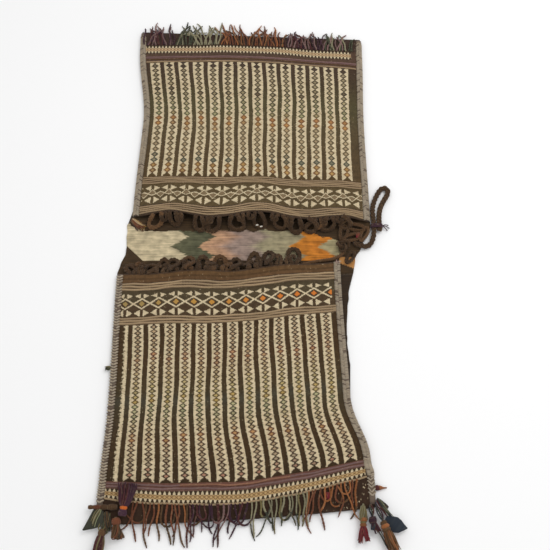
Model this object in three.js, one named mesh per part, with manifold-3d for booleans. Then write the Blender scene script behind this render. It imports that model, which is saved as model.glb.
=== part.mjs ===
// A woven double saddle bag, opened out and lying flat on the floor. One long strip of cloth is folded over
// at both ends to make two pouches, joined by a bridge that goes over the animal's back.
// Millimetres. +X runs across the bag, +Y along it towards the upper pouch, +Z up, with the floor at Z = 0.
// The origin is on the underside of the bridge, at its middle.

import * as THREE from 'three';
import { mergeVertices } from 'three/addons/utils/BufferGeometryUtils.js';
import Module from 'manifold-3d';

// Driving dimensions: the cloth strip
const BAG_WIDTH = 580;
const POUCH_DEPTH = 554;
const BRIDGE_LENGTH = 140;
const CLOTH_THICKNESS = 4;
const SEAM_GAP = 1.2; // between face and back at the folds and along the side seams
const SEAM_INSET = 6; // the face is narrower than the back by this much on each side
const CLEARANCE = 0.3; // between pieces that touch

// Driving dimensions: how the empty pouches stand open
const POUCH_SLACK = 12; // at the middle of a pouch
const FOLD_RISE = 190; // distance from a folded end over which the slack opens
const UPPER_MOUTH_LIFT = 12; // further opening at a mouth
const LOWER_MOUTH_LIFT = 6;
const MOUTH_REACH = 190; // distance from a mouth over which its lift and waves die away
const WAVE_HEIGHT = 5;
const WAVE_DRAW = 6; // how far a wave's crest is drawn back into the pouch
const WAVE_LENGTH = 230;
const WAVE_CREST_X = 20;
const LOWER_OVERHANG = 25; // the back shows beyond the lower right binding, most at the mouth
const LOWER_OVERHANG_REACH = 380;
const UPPER_OVERHANG = 14; // and beyond the upper left binding
const UPPER_OVERHANG_REACH = 260;

// The bag's outline as it lies. Places along the bag: 2 and -2 are the folded ends, 1 and -1 the mouths,
// 0 the middle of the bridge. Left and right say how far each long edge is drawn in from half the bag's
// width, tilt how far the right end of a row of weaving lies towards +Y, and bow how far both its ends do.
const OUTLINE = [
  { at: -2, left: -2, right: -1, tilt: 17, bow: 8 },
  { at: -1.945, left: -1.5, right: 1, tilt: 24, bow: 33 },
  { at: -1.87, left: 0, right: 7, tilt: 23, bow: 24 },
  { at: -1.6, left: 5, right: 44, tilt: 20, bow: 14 },
  { at: -1, left: 0, right: 32, tilt: 16, bow: 11 },
  { at: 0, left: 16, right: 12, tilt: 3, bow: 0 },
  { at: 1, left: 12, right: -19, tilt: -7, bow: 0 },
  { at: 1.5, left: 34, right: -16, tilt: -10, bow: 0 },
  { at: 1.93, left: 10, right: -21, tilt: -12, bow: -10 },
  { at: 2, left: 8, right: -22, tilt: -13, bow: 0 },
];

// Driving dimensions: the raised stripes of the faces
const STRIPE_COUNT = 14;
const STRIPE_WIDTH = 27;
const STRIPE_HEIGHT = 1.2;
const STRIPE_CHAMFER = 1.5;
const STRIPE_MARGIN = 8; // from the face's left edge to the field of stripes
const UPPER_RIGHT_MARGIN = 24; // and from the field to the right edge
const LOWER_RIGHT_MARGIN = 16;
const UPPER_MOUTH_BAND = 109; // from the mouth to the stripes
const UPPER_END_BAND = 92; // from the stripes to the folded end
const LOWER_MOUTH_BAND = 131;
const LOWER_END_BAND = 74;

// Driving dimensions: the side bindings
const BINDING_WIDTH = 18;
const BINDING_HEIGHT = 3;
const BINDING_SHOULDER = 4;
const BINDING_END_GAP = 2;
const BINDING_SLACK = 0.6; // between the braid and the top of the face

// Driving dimensions: the plaited closure loops
const LOOP_CORD = 8;
const LOOP_WIDTH = 22;
const UPPER_LOOP_REACH = 32;
const LOWER_LOOP_REACH = 44;
const LOOP_STEPS = 8;
const CORD_SIDES = 5;

// Driving dimensions: the fringes
const FRINGE_PITCH = 20;
const STRAND_WIDTH = 10;
const STRAND_THICKNESS = 2.5;
const HEADER_WIDTH = 6;
const UPPER_FRINGE_SETBACK = 35; // from the fringe's header to the folded end
const LOWER_FRINGE_SETBACK = 32;

// Driving dimensions: the lead rope and the trim
const ROPE_DIAMETER = 12;
const ROPE_SIDES = 8;
const ROPE_STEPS = 32;
const SEIZING_LENGTH = 14;
const SEIZING_WALL = 2;
const TASSEL_CORD_RADIUS = 3;
const TASSEL_SIDES = 8;
const EDGE_CORD = 8;
const EDGE_CORD_STEPS = 8;
const LEFT_TUFT_SHARE = 0.41; // of the lower pouch's depth, from its mouth
const RIGHT_TIP_SETBACK = 17; // from the lower folded end

// Colours
const CLOTH_BROWN = '#5a4130';
const BINDING_MAUVE = '#857468';
const GOAT_HAIR = '#463730';
const MAUVE = '#7a5560';
const GREY_GREEN = '#6f725c';
const ORANGE = '#c47a34';
const PURPLE = '#5f4560';
const DARK_GREEN = '#3c4a3d';
const RUST = '#7d4030';
const CRIMSON = '#a5283c';
const TEAL = '#24383c';
const MAROON = '#5a2b30';

const wasm = await Module();
wasm.setup();
const { lerp, smoothstep, clamp } = THREE.MathUtils;
const bag = new THREE.Group();

// A repeatable number from 0 to 1 for each piece, so that handmade pieces differ
function scatter(seed) {
  const value = Math.sin(seed * 12.9898 + 4.1414) * 43758.5453;
  return value - Math.floor(value);
}

// Closed solids from points and triangles, with their faces pointing out
function closedSolid(points, triangles) {
  let volume = 0;
  for (const [a, b, c] of triangles) {
    volume += points[a].dot(new THREE.Vector3().crossVectors(points[b], points[c]));
  }
  const facing = volume > 0 ? triangles : triangles.map(([a, b, c]) => [a, c, b]);
  const geometry = new THREE.BufferGeometry().setFromPoints(points);
  geometry.setIndex(facing.flat());
  return geometry;
}

function weld(geometry) {
  geometry.deleteAttribute('normal');
  geometry.deleteAttribute('uv');
  return mergeVertices(geometry);
}

function toManifold(geometry) {
  return new wasm.Manifold(new wasm.Mesh({
    numProp: 3,
    vertProperties: new Float32Array(geometry.attributes.position.array),
    triVerts: new Uint32Array(geometry.index.array),
  }));
}

function fuse(geometries) {
  const whole = geometries.map(toManifold).reduce((sum, next) => sum.add(next)).getMesh();
  const geometry = new THREE.BufferGeometry();
  geometry.setAttribute('position', new THREE.BufferAttribute(whole.vertProperties, 3));
  geometry.setIndex(new THREE.BufferAttribute(whole.triVerts, 1));
  return geometry;
}

function addPiece(name, geometry, colour) {
  const material = new THREE.MeshStandardMaterial({ color: colour, roughness: 0.95, metalness: 0 });
  geometry.computeVertexNormals();
  const mesh = new THREE.Mesh(geometry, material);
  mesh.name = name;
  bag.add(mesh);
  return mesh;
}

// A solid lofted through rings of the same number of points; outline is the ring's flat shape, for its ends
function loft(rings, outline) {
  const count = rings[0].length;
  const last = (rings.length - 1) * count;
  const triangles = [];
  for (let ring = 0; ring < rings.length - 1; ring += 1) {
    for (let i = 0; i < count; i += 1) {
      const a = ring * count + i;
      const b = ring * count + ((i + 1) % count);
      triangles.push([a, b, b + count], [a, b + count, a + count]);
    }
  }
  const turned = THREE.ShapeUtils.isClockWise(outline);
  for (const [a, i, j] of THREE.ShapeUtils.triangulateShape(outline, [])) {
    const [b, c] = turned ? [j, i] : [i, j];
    triangles.push([a, c, b], [last + a, last + b, last + c]);
  }
  return closedSolid(rings.flat(), triangles);
}

// A round cord along a smooth curve through points
function cord(points, diameter, sides, steps) {
  const section = new THREE.Shape();
  for (let i = 0; i < sides; i += 1) {
    const angle = (i / sides) * 2 * Math.PI;
    const corner = [Math.cos(angle) * diameter / 2, Math.sin(angle) * diameter / 2];
    if (i === 0) section.moveTo(...corner);
    else section.lineTo(...corner);
  }
  const extrudePath = new THREE.CatmullRomCurve3(points, false, 'centripetal');
  return weld(new THREE.ExtrudeGeometry(section, { steps, bevelEnabled: false, extrudePath }));
}

// The outline of the cloth
function outlineAt(field, at) {
  const next = clamp(OUTLINE.findIndex((station) => station.at >= at), 1, OUTLINE.length - 1);
  const [a, b] = [OUTLINE[next - 1], OUTLINE[next]];
  return lerp(a[field], b[field], smoothstep(at, a.at, b.at));
}

function centreY(at) {
  const onBridge = Math.min(1, Math.abs(at)) * BRIDGE_LENGTH / 2;
  const onPouch = Math.max(0, Math.abs(at) - 1) * POUCH_DEPTH;
  return Math.sign(at) * (onBridge + onPouch);
}

function fromMouth(at) {
  return (Math.abs(at) - 1) * POUCH_DEPTH;
}

// The place along the bag that lies a distance from a pouch's mouth or from its folded end
function atFromMouth(pouch, distance) {
  return pouch * (1 + distance / POUCH_DEPTH);
}

function atFromFold(pouch, distance) {
  return pouch * (2 - distance / POUCH_DEPTH);
}

function rowY(at, across) {
  return centreY(at) + outlineAt('tilt', at) * across + outlineAt('bow', at) * across ** 2;
}

function backPoint(at, across) {
  const left = -BAG_WIDTH / 2 + outlineAt('left', at);
  const right = BAG_WIDTH / 2 - outlineAt('right', at);
  return new THREE.Vector2(lerp(left, right, (across + 1) / 2), rowY(at, across));
}

// The pouch's crown: full across the middle, nothing at the side seams
function crown(across) {
  return 1 - across ** 4;
}

function mouthFade(at) {
  return Math.max(0, 1 - fromMouth(at) / MOUTH_REACH) ** 2;
}

function mouthWave(across) {
  return Math.cos(2 * Math.PI * (across * BAG_WIDTH / 2 - WAVE_CREST_X) / WAVE_LENGTH);
}

// How far a face is drawn in from the back beside it, most at the mouth
function overhang(at, most, reach) {
  return most * (1 - smoothstep(fromMouth(at), 0, reach));
}

function faceEdges(at) {
  const left = backPoint(at, -1).x + SEAM_INSET;
  const right = backPoint(at, 1).x - SEAM_INSET;
  if (at > 0) return { left: left + overhang(at, UPPER_OVERHANG, UPPER_OVERHANG_REACH), right };
  return { left, right: right - overhang(at, LOWER_OVERHANG, LOWER_OVERHANG_REACH) };
}

function facePoint(at, across) {
  const { left, right } = faceEdges(at);
  const draw = WAVE_DRAW * mouthWave(across) * crown(across) * mouthFade(at);
  return new THREE.Vector2(lerp(left, right, (across + 1) / 2), rowY(at, across) + Math.sign(at) * draw);
}

// Height of the face's underside
function faceUnder(at, across) {
  const slack = POUCH_SLACK * smoothstep(POUCH_DEPTH - fromMouth(at), 0, FOLD_RISE);
  const mouthLift = at > 0 ? UPPER_MOUTH_LIFT : LOWER_MOUTH_LIFT;
  const lift = (mouthLift + WAVE_HEIGHT * mouthWave(across)) * mouthFade(at);
  return CLOTH_THICKNESS + SEAM_GAP + crown(across) * (slack + lift);
}

function faceTop(at, across) {
  return faceUnder(at, across) + CLOTH_THICKNESS;
}

// Bag cloth: rows of points along the strip, each with its outer and inner side. The one strip is held as
// three solids, the two faces with their folds and the back, which meet under the folds.
const COLUMNS = 14;
const FACE_ROWS = [0, 0.05, 0.13, 0.24, 0.4, 0.6, 0.8, 0.88, 0.945, 1];
const BACK_ROWS = [
  atFromFold(1, CLEARANCE), 1.8, 1.65, 1.5, 1.25, 1, 0,
  -1, -1.25, -1.5, -1.65, -1.8, atFromFold(-1, CLEARANCE),
];
const FOLD_STEPS = 4;

// Places across the cloth, closer together towards the side seams
function acrossAt(column) {
  const t = (2 * column) / COLUMNS - 1;
  return t * (1.25 - 0.25 * t * t);
}

function clothRow(place) {
  const row = [];
  for (let column = 0; column <= COLUMNS; column += 1) row.push(place(acrossAt(column)));
  return row;
}

function faceRow(at) {
  return clothRow((across) => {
    const { x, y } = facePoint(at, across);
    const outer = new THREE.Vector3(x, y, faceTop(at, across));
    return { outer, inner: new THREE.Vector3(x, y, faceUnder(at, across)) };
  });
}

function backRow(at) {
  return clothRow((across) => {
    const { x, y } = backPoint(at, across);
    return { outer: new THREE.Vector3(x, y, 0), inner: new THREE.Vector3(x, y, CLOTH_THICKNESS) };
  });
}

// One row of a fold, from 0 at the face to 1 at the back
function foldRow(pouch, turn) {
  const angle = Math.PI * (0.5 - turn);
  const middle = CLOTH_THICKNESS + SEAM_GAP / 2;
  return clothRow((across) => {
    const { x, y } = facePoint(2 * pouch, across).lerp(backPoint(2 * pouch, across), turn);
    const bend = (radius) => new THREE.Vector3(
      x, y + pouch * radius * Math.cos(angle), middle + radius * Math.sin(angle),
    );
    return { outer: bend(middle), inner: bend(SEAM_GAP / 2) };
  });
}

// A face from its mouth to the fold, and round under it
function faceRows(pouch) {
  const rows = FACE_ROWS.map((share) => faceRow(pouch * (1 + share)));
  for (let step = 1; step <= FOLD_STEPS; step += 1) rows.push(foldRow(pouch, step / FOLD_STEPS));
  return rows;
}

// A cloth of even thickness from its rows, closed round its rim
function clothSolid(rows) {
  const width = COLUMNS + 1;
  const points = rows.flatMap((row) => row.flatMap(({ outer, inner }) => [outer, inner]));
  const outer = (row, column) => 2 * (row * width + column);
  const inner = (row, column) => outer(row, column) + 1;
  const triangles = [];
  const quad = (a, b, c, d) => triangles.push([a, b, c], [a, c, d]);
  for (let r = 0; r < rows.length - 1; r += 1) {
    for (let c = 0; c < COLUMNS; c += 1) {
      quad(outer(r, c), outer(r + 1, c), outer(r + 1, c + 1), outer(r, c + 1));
      quad(inner(r, c), inner(r, c + 1), inner(r + 1, c + 1), inner(r + 1, c));
    }
    quad(outer(r, 0), inner(r, 0), inner(r + 1, 0), outer(r + 1, 0));
    quad(outer(r, COLUMNS), outer(r + 1, COLUMNS), inner(r + 1, COLUMNS), inner(r, COLUMNS));
  }
  const end = rows.length - 1;
  for (let c = 0; c < COLUMNS; c += 1) {
    quad(outer(0, c), outer(0, c + 1), inner(0, c + 1), inner(0, c));
    quad(outer(end, c), inner(end, c), inner(end, c + 1), outer(end, c + 1));
  }
  return closedSolid(points, triangles);
}

// One raised stripe, its underside sunk half way into the face that it is woven into
function stripeSolid(pouch, index, start, finish) {
  const inside = FACE_ROWS.map((share) => pouch * (1 + share))
    .filter((at) => Math.abs(at) > Math.abs(start) && Math.abs(at) < Math.abs(finish));
  const rings = [start, ...inside, finish].map((at) => {
    const { left, right } = faceEdges(at);
    const field = right - left - STRIPE_MARGIN - (pouch > 0 ? UPPER_RIGHT_MARGIN : LOWER_RIGHT_MARGIN);
    const middle = STRIPE_MARGIN + field * (index + 0.5) / STRIPE_COUNT;
    const corner = (offset, rise) => {
      const across = (2 * (middle + offset)) / (right - left) - 1;
      const { x, y } = facePoint(at, across);
      return new THREE.Vector3(x, y, faceTop(at, across) + rise);
    };
    const foot = STRIPE_WIDTH / 2;
    const top = foot - STRIPE_CHAMFER;
    const sunk = -CLOTH_THICKNESS / 2;
    return [corner(-foot, sunk), corner(foot, sunk), corner(top, STRIPE_HEIGHT), corner(-top, STRIPE_HEIGHT)];
  });
  return loft(rings, rings[0].map(({ x, z }) => new THREE.Vector2(x, z)));
}

function faceSolid(pouch, mouthBand, endBand) {
  const solids = [clothSolid(faceRows(pouch))];
  for (let index = 0; index < STRIPE_COUNT; index += 1) {
    solids.push(stripeSolid(pouch, index, atFromMouth(pouch, mouthBand), atFromFold(pouch, endBand)));
  }
  return fuse(solids);
}

const cloths = [
  addPiece('upper_face', faceSolid(1, UPPER_MOUTH_BAND, UPPER_END_BAND), CLOTH_BROWN),
  addPiece('lower_face', faceSolid(-1, LOWER_MOUTH_BAND, LOWER_END_BAND), CLOTH_BROWN),
  addPiece('back_panel', clothSolid(BACK_ROWS.map(backRow)), CLOTH_BROWN),
];

// Side bindings: an overcast braid over the face's edge, standing on the back beside it
function bindingSolid(pouch, side) {
  const first = BINDING_END_GAP / POUCH_DEPTH;
  const shares = FACE_ROWS.map((share) => clamp(share, first, 1 - first));
  const rings = shares.map((share) => {
    const at = pouch * (1 + share);
    const { left, right } = faceEdges(at);
    const faceSpan = BINDING_WIDTH - SEAM_INSET;
    const over = (distance) => side * (1 - (2 * distance) / (right - left));
    const onFace = (distance, rise) => {
      const { x, y } = facePoint(at, over(distance));
      return new THREE.Vector3(x, y, faceTop(at, over(distance)) + rise);
    };
    const beside = (distance, z) => {
      const { x, y } = facePoint(at, side);
      return new THREE.Vector3(x + side * distance, y, z);
    };
    const edgeTop = faceTop(at, side);
    const foot = CLOTH_THICKNESS + CLEARANCE;
    return [
      beside(SEAM_INSET, foot),
      beside(SEAM_INSET, edgeTop),
      beside(SEAM_INSET - BINDING_SHOULDER, edgeTop + BINDING_HEIGHT),
      onFace(faceSpan / 2, BINDING_HEIGHT),
      onFace(faceSpan, BINDING_HEIGHT / 2),
      onFace(faceSpan, BINDING_SLACK),
      onFace(faceSpan / 2, BINDING_SLACK),
      beside(CLEARANCE, edgeTop + BINDING_SLACK),
      beside(CLEARANCE, foot),
    ];
  });
  return loft(rings, rings[0].map(({ x, z }) => new THREE.Vector2(x, z)));
}

const bindings = [
  addPiece('upper_left_binding', bindingSolid(1, -1), BINDING_MAUVE),
  addPiece('upper_right_binding', bindingSolid(1, 1), BINDING_MAUVE),
  addPiece('lower_left_binding', bindingSolid(-1, -1), BINDING_MAUVE),
  addPiece('lower_right_binding', bindingSolid(-1, 1), BINDING_MAUVE),
];

// The top of the cloth and bindings at a place in plan, and their outermost edge at a height, found by rays
const SKY = 500;
const raycaster = new THREE.Raycaster();

function firstHit(from, towards) {
  raycaster.set(from, towards);
  return raycaster.intersectObjects([...cloths, ...bindings])[0]?.point;
}

function topAt(x, y) {
  return firstHit(new THREE.Vector3(x, y, SKY), new THREE.Vector3(0, 0, -1))?.z ?? 0;
}

function topUnder(x, y, reach) {
  const spots = [[0, 0], [reach, 0], [-reach, 0], [0, reach], [0, -reach]];
  return Math.max(...spots.map(([dx, dy]) => topAt(x + dx, y + dy)));
}

// The place beside a long edge where a round end of a radius, resting on the floor, just clears it
function besideEdge(at, side, radius) {
  const { y } = backPoint(at, side);
  const inward = new THREE.Vector3(-side, 0, 0);
  const edges = [];
  for (const height of [CLOTH_THICKNESS / 2, CLOTH_THICKNESS + BINDING_HEIGHT]) {
    for (const share of [-1, -0.5, 0, 0.5, 1]) {
      const hit = firstHit(new THREE.Vector3(side * SKY, y + share * radius, height), inward);
      if (hit) edges.push(side * hit.x);
    }
  }
  return new THREE.Vector2(side * (Math.max(...edges) + CLEARANCE), y);
}

// Closure loops: each is sewn to a mouth's edge by its two ends and lies over on the bridge
const UPPER_LOOPS = [-0.8, -0.67, -0.44, -0.29, -0.14, 0.05, 0.25, 0.38, 0.52, 0.67, 0.81];
const LOWER_LOOPS = [-0.88, -0.75, -0.62, -0.49, -0.36, -0.23, -0.09, 0.06, 0.21, 0.36, 0.6];

// The middle of a mouth's edge, between two of the cloth's columns
function mouthEdge(pouch, across) {
  let column = 1;
  while (column < COLUMNS && acrossAt(column) < across) column += 1;
  const [low, high] = [acrossAt(column - 1), acrossAt(column)];
  const corner = (place) => {
    const { x, y } = facePoint(pouch, place);
    return new THREE.Vector3(x, y, faceUnder(pouch, place) + CLOTH_THICKNESS / 2);
  };
  return corner(low).lerp(corner(high), (across - low) / (high - low));
}

function closureLoop(pouch, across, seed) {
  const reach = (pouch > 0 ? UPPER_LOOP_REACH : LOWER_LOOP_REACH) * (0.8 + 0.35 * scatter(seed));
  const half = (LOOP_WIDTH / 2) * (0.85 + 0.3 * scatter(seed + 0.3));
  const lean = (LOOP_WIDTH / 4) * (2 * scatter(seed + 0.7) - 1);
  const { left, right } = faceEdges(pouch);
  const spread = 2 / (right - left);
  const resting = CLOTH_THICKNESS + CLEARANCE + LOOP_CORD / 2;
  const root = (offset) => {
    const edges = [-0.5, 0, 0.5].map((share) => mouthEdge(pouch, across + (offset + share * LOOP_CORD) * spread));
    const foremost = Math.min(...edges.map(({ y }) => pouch * y));
    return edges[1].setY(pouch * (foremost - CLEARANCE));
  };
  const leg = (side) => {
    const start = root(side * half * 0.7);
    const point = (offset, out, drop) => new THREE.Vector3(
      start.x + offset, start.y - pouch * out, lerp(start.z, resting, drop),
    );
    return [
      start,
      point(0, LOOP_CORD * 0.6, 0),
      point(side * half * 0.4, reach * 0.5, 0.75),
      point(side * half * 0.1 + lean * 0.6, reach * 0.85, 1),
    ];
  };
  const tip = root(0);
  const apex = new THREE.Vector3(tip.x + lean, tip.y - pouch * reach, resting);
  return cord([...leg(-1), apex, ...leg(1).reverse()], LOOP_CORD, CORD_SIDES, LOOP_STEPS);
}

UPPER_LOOPS.forEach((across, i) => {
  addPiece(`upper_loop_${i + 1}`, closureLoop(1, across, i + 1), GOAT_HAIR);
});
LOWER_LOOPS.forEach((across, i) => {
  addPiece(`lower_loop_${i + 1}`, closureLoop(-1, across, i + 31), GOAT_HAIR);
});

// Fringes: groups of yarn ends of one colour, each on a sewn header
const FRINGES = [
  { name: 'upper_fringe_mauve', pouch: 1, from: -0.94, to: -0.72, past: 24, colour: MAUVE },
  { name: 'upper_fringe_grey_green', pouch: 1, from: -0.7, to: -0.31, past: 22, colour: GREY_GREEN },
  { name: 'upper_fringe_orange', pouch: 1, from: -0.29, to: 0.3, past: 24, colour: ORANGE },
  { name: 'upper_fringe_purple', pouch: 1, from: 0.32, to: 0.67, past: 26, colour: PURPLE },
  { name: 'upper_fringe_dark_green', pouch: 1, from: 0.69, to: 0.93, past: 24, colour: DARK_GREEN },
  { name: 'lower_fringe_rust', pouch: -1, from: -0.74, to: -0.37, past: 40, colour: RUST },
  { name: 'lower_fringe_purple', pouch: -1, from: -0.35, to: 0.1, past: 52, colour: PURPLE },
  { name: 'lower_fringe_grey_green', pouch: -1, from: 0.12, to: 0.52, past: 48, colour: GREY_GREEN },
  { name: 'lower_fringe_orange', pouch: -1, from: 0.54, to: 0.88, past: 36, colour: ORANGE },
];

// A flat bar of yarn through points, its width lying along a direction in plan
function flatBar(points, width, thickness, direction) {
  const half = direction.clone().multiplyScalar(width / 2);
  const rise = new THREE.Vector3(0, 0, thickness / 2);
  const rings = points.map((point) => [
    point.clone().sub(half).sub(rise),
    point.clone().add(half).sub(rise),
    point.clone().add(half).add(rise),
    point.clone().sub(half).add(rise),
  ]);
  const [w, t] = [width / 2, thickness / 2];
  const outline = [[-w, -t], [w, -t], [w, t], [-w, t]].map(([x, y]) => new THREE.Vector2(x, y));
  return loft(rings, outline);
}

function onFace(at, across, width, thickness) {
  const { x, y } = facePoint(at, across);
  return new THREE.Vector3(x, y, topUnder(x, y, width / 2) + CLEARANCE + thickness / 2);
}

// One yarn end: from its header over the folded end and down on to the floor
function strandSolid({ pouch, past }, setback, across, seed) {
  const root = onFace(atFromFold(pouch, setback), across, STRAND_WIDTH, STRAND_THICKNESS);
  const fold = onFace(atFromFold(pouch, CLEARANCE), across, STRAND_WIDTH, STRAND_THICKNESS);
  const round = CLOTH_THICKNESS + SEAM_GAP / 2 + CLEARANCE + STRAND_THICKNESS / 2;
  const floor = STRAND_THICKNESS / 2;
  const lean = (STRAND_WIDTH / 2) * (2 * scatter(seed) - 1);
  const reach = past * (0.7 + 0.6 * scatter(seed + 0.5));
  const beyond = (out, z, share) => new THREE.Vector3(fold.x + lean * share, fold.y + pouch * out, z);
  const over = beyond(round, fold.z - 0.2 * round, 0.4);
  const end = beyond(2 * round + reach / 2, floor, 1);
  return flatBar([root, fold, over, end], STRAND_WIDTH, STRAND_THICKNESS, new THREE.Vector3(1, 0, 0));
}

function fringeSolid(fringe, seed) {
  const setback = fringe.pouch > 0 ? UPPER_FRINGE_SETBACK : LOWER_FRINGE_SETBACK;
  const at = atFromFold(fringe.pouch, setback);
  const width = (fringe.to - fringe.from) * (faceEdges(at).right - faceEdges(at).left) / 2;
  const count = Math.max(2, Math.round(width / FRINGE_PITCH));
  const places = Array.from({ length: count }, (_, i) => lerp(fringe.from, fringe.to, (i + 0.5) / count));
  const header = [0, 0.5, 1].map((share) => onFace(
    at, lerp(fringe.from, fringe.to, share), HEADER_WIDTH, STRAND_THICKNESS,
  ));
  const bar = flatBar(header, HEADER_WIDTH, STRAND_THICKNESS, new THREE.Vector3(0, 1, 0));
  const strands = places.map((across, i) => strandSolid(fringe, setback, across, seed + i));
  return fuse([bar, ...strands]);
}

FRINGES.forEach((fringe, i) => addPiece(fringe.name, fringeSolid(fringe, 40 * i + 7), fringe.colour));

// Tassels: turned forms of cord, head, binding and skirt, as [distance along it, radius]
const SEAT_SPACING = 2; // between the spots tested along a tassel
const CORD = TASSEL_CORD_RADIUS;
const SKIRTED = [[0, CORD], [22, CORD], [25, 7], [32, 8], [37, 6], [44, 8], [60, 11], [84, 12]];
const LONG_SKIRTED = [[0, CORD], [44, CORD], [47, 8], [55, 9], [60, 7], [68, 9], [84, 12], [104, 12]];
const SHORT_SKIRTED = [[0, CORD], [22, CORD], [25, 8], [31, 8], [36, 5], [52, 6], [76, 10]];
const KNOB = [[0, CORD], [34, CORD], [38, 5], [43, 7], [50, 4]];
const ON_FACE = [[0, 4], [4, 8], [10, 9], [15, 7], [20, 8], [36, 17], [62, 22]];
const LOOPED = [[0, CORD], [8, CORD], [14, 7], [26, 9], [36, 7], [42, 4]];
const WRAPPED = [[0, 4], [30, 4], [66, 3]];
const TUFT_RADIUS = 7;
const TUFT = [[0, 4], [6, 6], [14, TUFT_RADIUS], [20, 4]];
const SLIM_TUFT = [[0, 2], [4, 4], [10, 4], [15, 2]];
const TIP_RADIUS = 4;
const TIP = [[0, TIP_RADIUS], [18, TIP_RADIUS], [24, 2]];
const LONG_FELT = [[0, CORD], [24, CORD], [28, 10], [44, 14], [58, 12], [66, 4]];
const SHORT_FELT = [[0, 4], [6, 10], [20, 12], [44, 2]];
const FELT_FLATNESS = 0.35;
const RED_TUFT_DROP = 10; // from the header of the fringe to the red tuft between its strands
const RED_TUFT_ACROSS = 0.676;

function tasselSolid(profile, flatness) {
  const last = profile[profile.length - 1][0];
  const points = [[0, 0], ...profile.map(([along, radius]) => [radius, along]), [0, last]];
  const turned = new THREE.LatheGeometry(points.map(([x, y]) => new THREE.Vector2(x, y)), TASSEL_SIDES);
  return weld(turned.scale(1, 1, flatness));
}

// The height at which a tassel's axis rests on whatever lies under it: cloth, binding or floor
function restingHeight(profile, flatness, start, direction) {
  const heights = [];
  for (let i = 1; i < profile.length; i += 1) {
    const [[from, r0], [to, r1]] = [profile[i - 1], profile[i]];
    const steps = Math.max(1, Math.ceil((to - from) / SEAT_SPACING));
    for (let step = 0; step <= steps; step += 1) {
      const spot = direction.clone().multiplyScalar(lerp(from, to, step / steps)).add(start);
      const radius = lerp(r0, r1, step / steps);
      for (const share of [-0.9, -0.6, -0.3, 0, 0.3, 0.6, 0.9]) {
        const [x, y] = [spot.x - direction.y * share * radius, spot.y + direction.x * share * radius];
        heights.push(topAt(x, y) + CLEARANCE + radius * flatness * Math.sqrt(1 - share * share));
      }
    }
  }
  return Math.max(...heights);
}

// Lays a tassel with its first end at a place in plan, pointing along a heading in degrees from +X
function layTassel({ name, profile, start, heading, colour, flatness = 1 }) {
  const angle = THREE.MathUtils.degToRad(heading);
  const direction = new THREE.Vector2(Math.cos(angle), Math.sin(angle));
  const mesh = addPiece(name, tasselSolid(profile, flatness), colour);
  mesh.position.set(start.x, start.y, restingHeight(profile, flatness, start, direction));
  mesh.rotation.z = angle - Math.PI / 2;
}

// A place measured in from the lower corners: how far in from the edge, and how far up from the fold
function inFromCorner(side, inward, up) {
  return backPoint(-2, side).add(new THREE.Vector2(-side * inward, up));
}

const leftTuftAt = atFromMouth(-1, LEFT_TUFT_SHARE * POUCH_DEPTH);
const rightTipAt = atFromFold(-1, RIGHT_TIP_SETBACK);
const redTuft = facePoint(atFromFold(-1, LOWER_FRINGE_SETBACK - RED_TUFT_DROP), RED_TUFT_ACROSS);

[
  {
    name: 'left_purple_tassel', profile: ON_FACE, start: inFromCorner(-1, 58, 11), heading: 83,
    colour: PURPLE, flatness: 0.45,
  },
  {
    name: 'left_wrapped_cord', profile: WRAPPED, start: inFromCorner(-1, 46, 29), heading: 180,
    colour: RUST,
  },
  {
    name: 'left_green_tassel', profile: SHORT_FELT, start: inFromCorner(-1, 3, 14), heading: 232,
    colour: DARK_GREEN, flatness: FELT_FLATNESS,
  },
  {
    name: 'left_maroon_tassel', profile: SKIRTED, start: inFromCorner(-1, 22, 9), heading: 262,
    colour: MAROON,
  },
  {
    name: 'left_rust_tassel', profile: LOOPED, start: inFromCorner(-1, 44, 9), heading: 280,
    colour: RUST,
  },
  {
    name: 'right_crimson_tassel', profile: SHORT_SKIRTED, start: inFromCorner(1, 28, 2), heading: 268,
    colour: CRIMSON,
  },
  {
    name: 'right_knob_tassel', profile: KNOB, start: inFromCorner(1, 13, 2), heading: 275,
    colour: PURPLE,
  },
  {
    name: 'right_orange_tassel', profile: LONG_SKIRTED, start: inFromCorner(1, 3, 5), heading: 290,
    colour: ORANGE,
  },
  {
    name: 'right_teal_tassel', profile: LONG_FELT, start: inFromCorner(1, -1, 12), heading: 322,
    colour: TEAL, flatness: FELT_FLATNESS,
  },
  {
    name: 'left_edge_tuft', profile: TUFT, start: besideEdge(leftTuftAt, -1, TUFT_RADIUS), heading: 180,
    colour: DARK_GREEN,
  },
  {
    name: 'right_wrapped_tip', profile: TIP, start: besideEdge(rightTipAt, 1, TIP_RADIUS), heading: 0,
    colour: ORANGE,
  },
  {
    name: 'red_tuft', profile: SLIM_TUFT, start: redTuft, heading: 270,
    colour: CRIMSON, flatness: 0.6,
  },
  {
    name: 'corner_thread_bundle', profile: TUFT, start: backPoint(0.6, -0.92), heading: 160,
    colour: CRIMSON, flatness: 0.6,
  },
].forEach(layTassel);

// Bridge knot: a turned lump of knotted cord and thread on the right end of the bridge
const KNOT_HEIGHT = 17;
const KNOT_RADIUS = 19;
const KNOT_SIDES = 10;
const knotPlace = backPoint(-0.08, 0.87);
const knotProfile = [[0, 0], [0.7, 0], [1, 0.3], [0.95, 0.6], [0.6, 0.9], [0, 1]];
const knotPoints = knotProfile.map(([out, up]) => new THREE.Vector2(out * KNOT_RADIUS, up * KNOT_HEIGHT));
const knot = addPiece('bridge_knot', weld(new THREE.LatheGeometry(knotPoints, KNOT_SIDES)
  .rotateX(Math.PI / 2)), GOAT_HAIR);
knot.position.set(knotPlace.x, knotPlace.y, CLOTH_THICKNESS + CLEARANCE);

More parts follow.
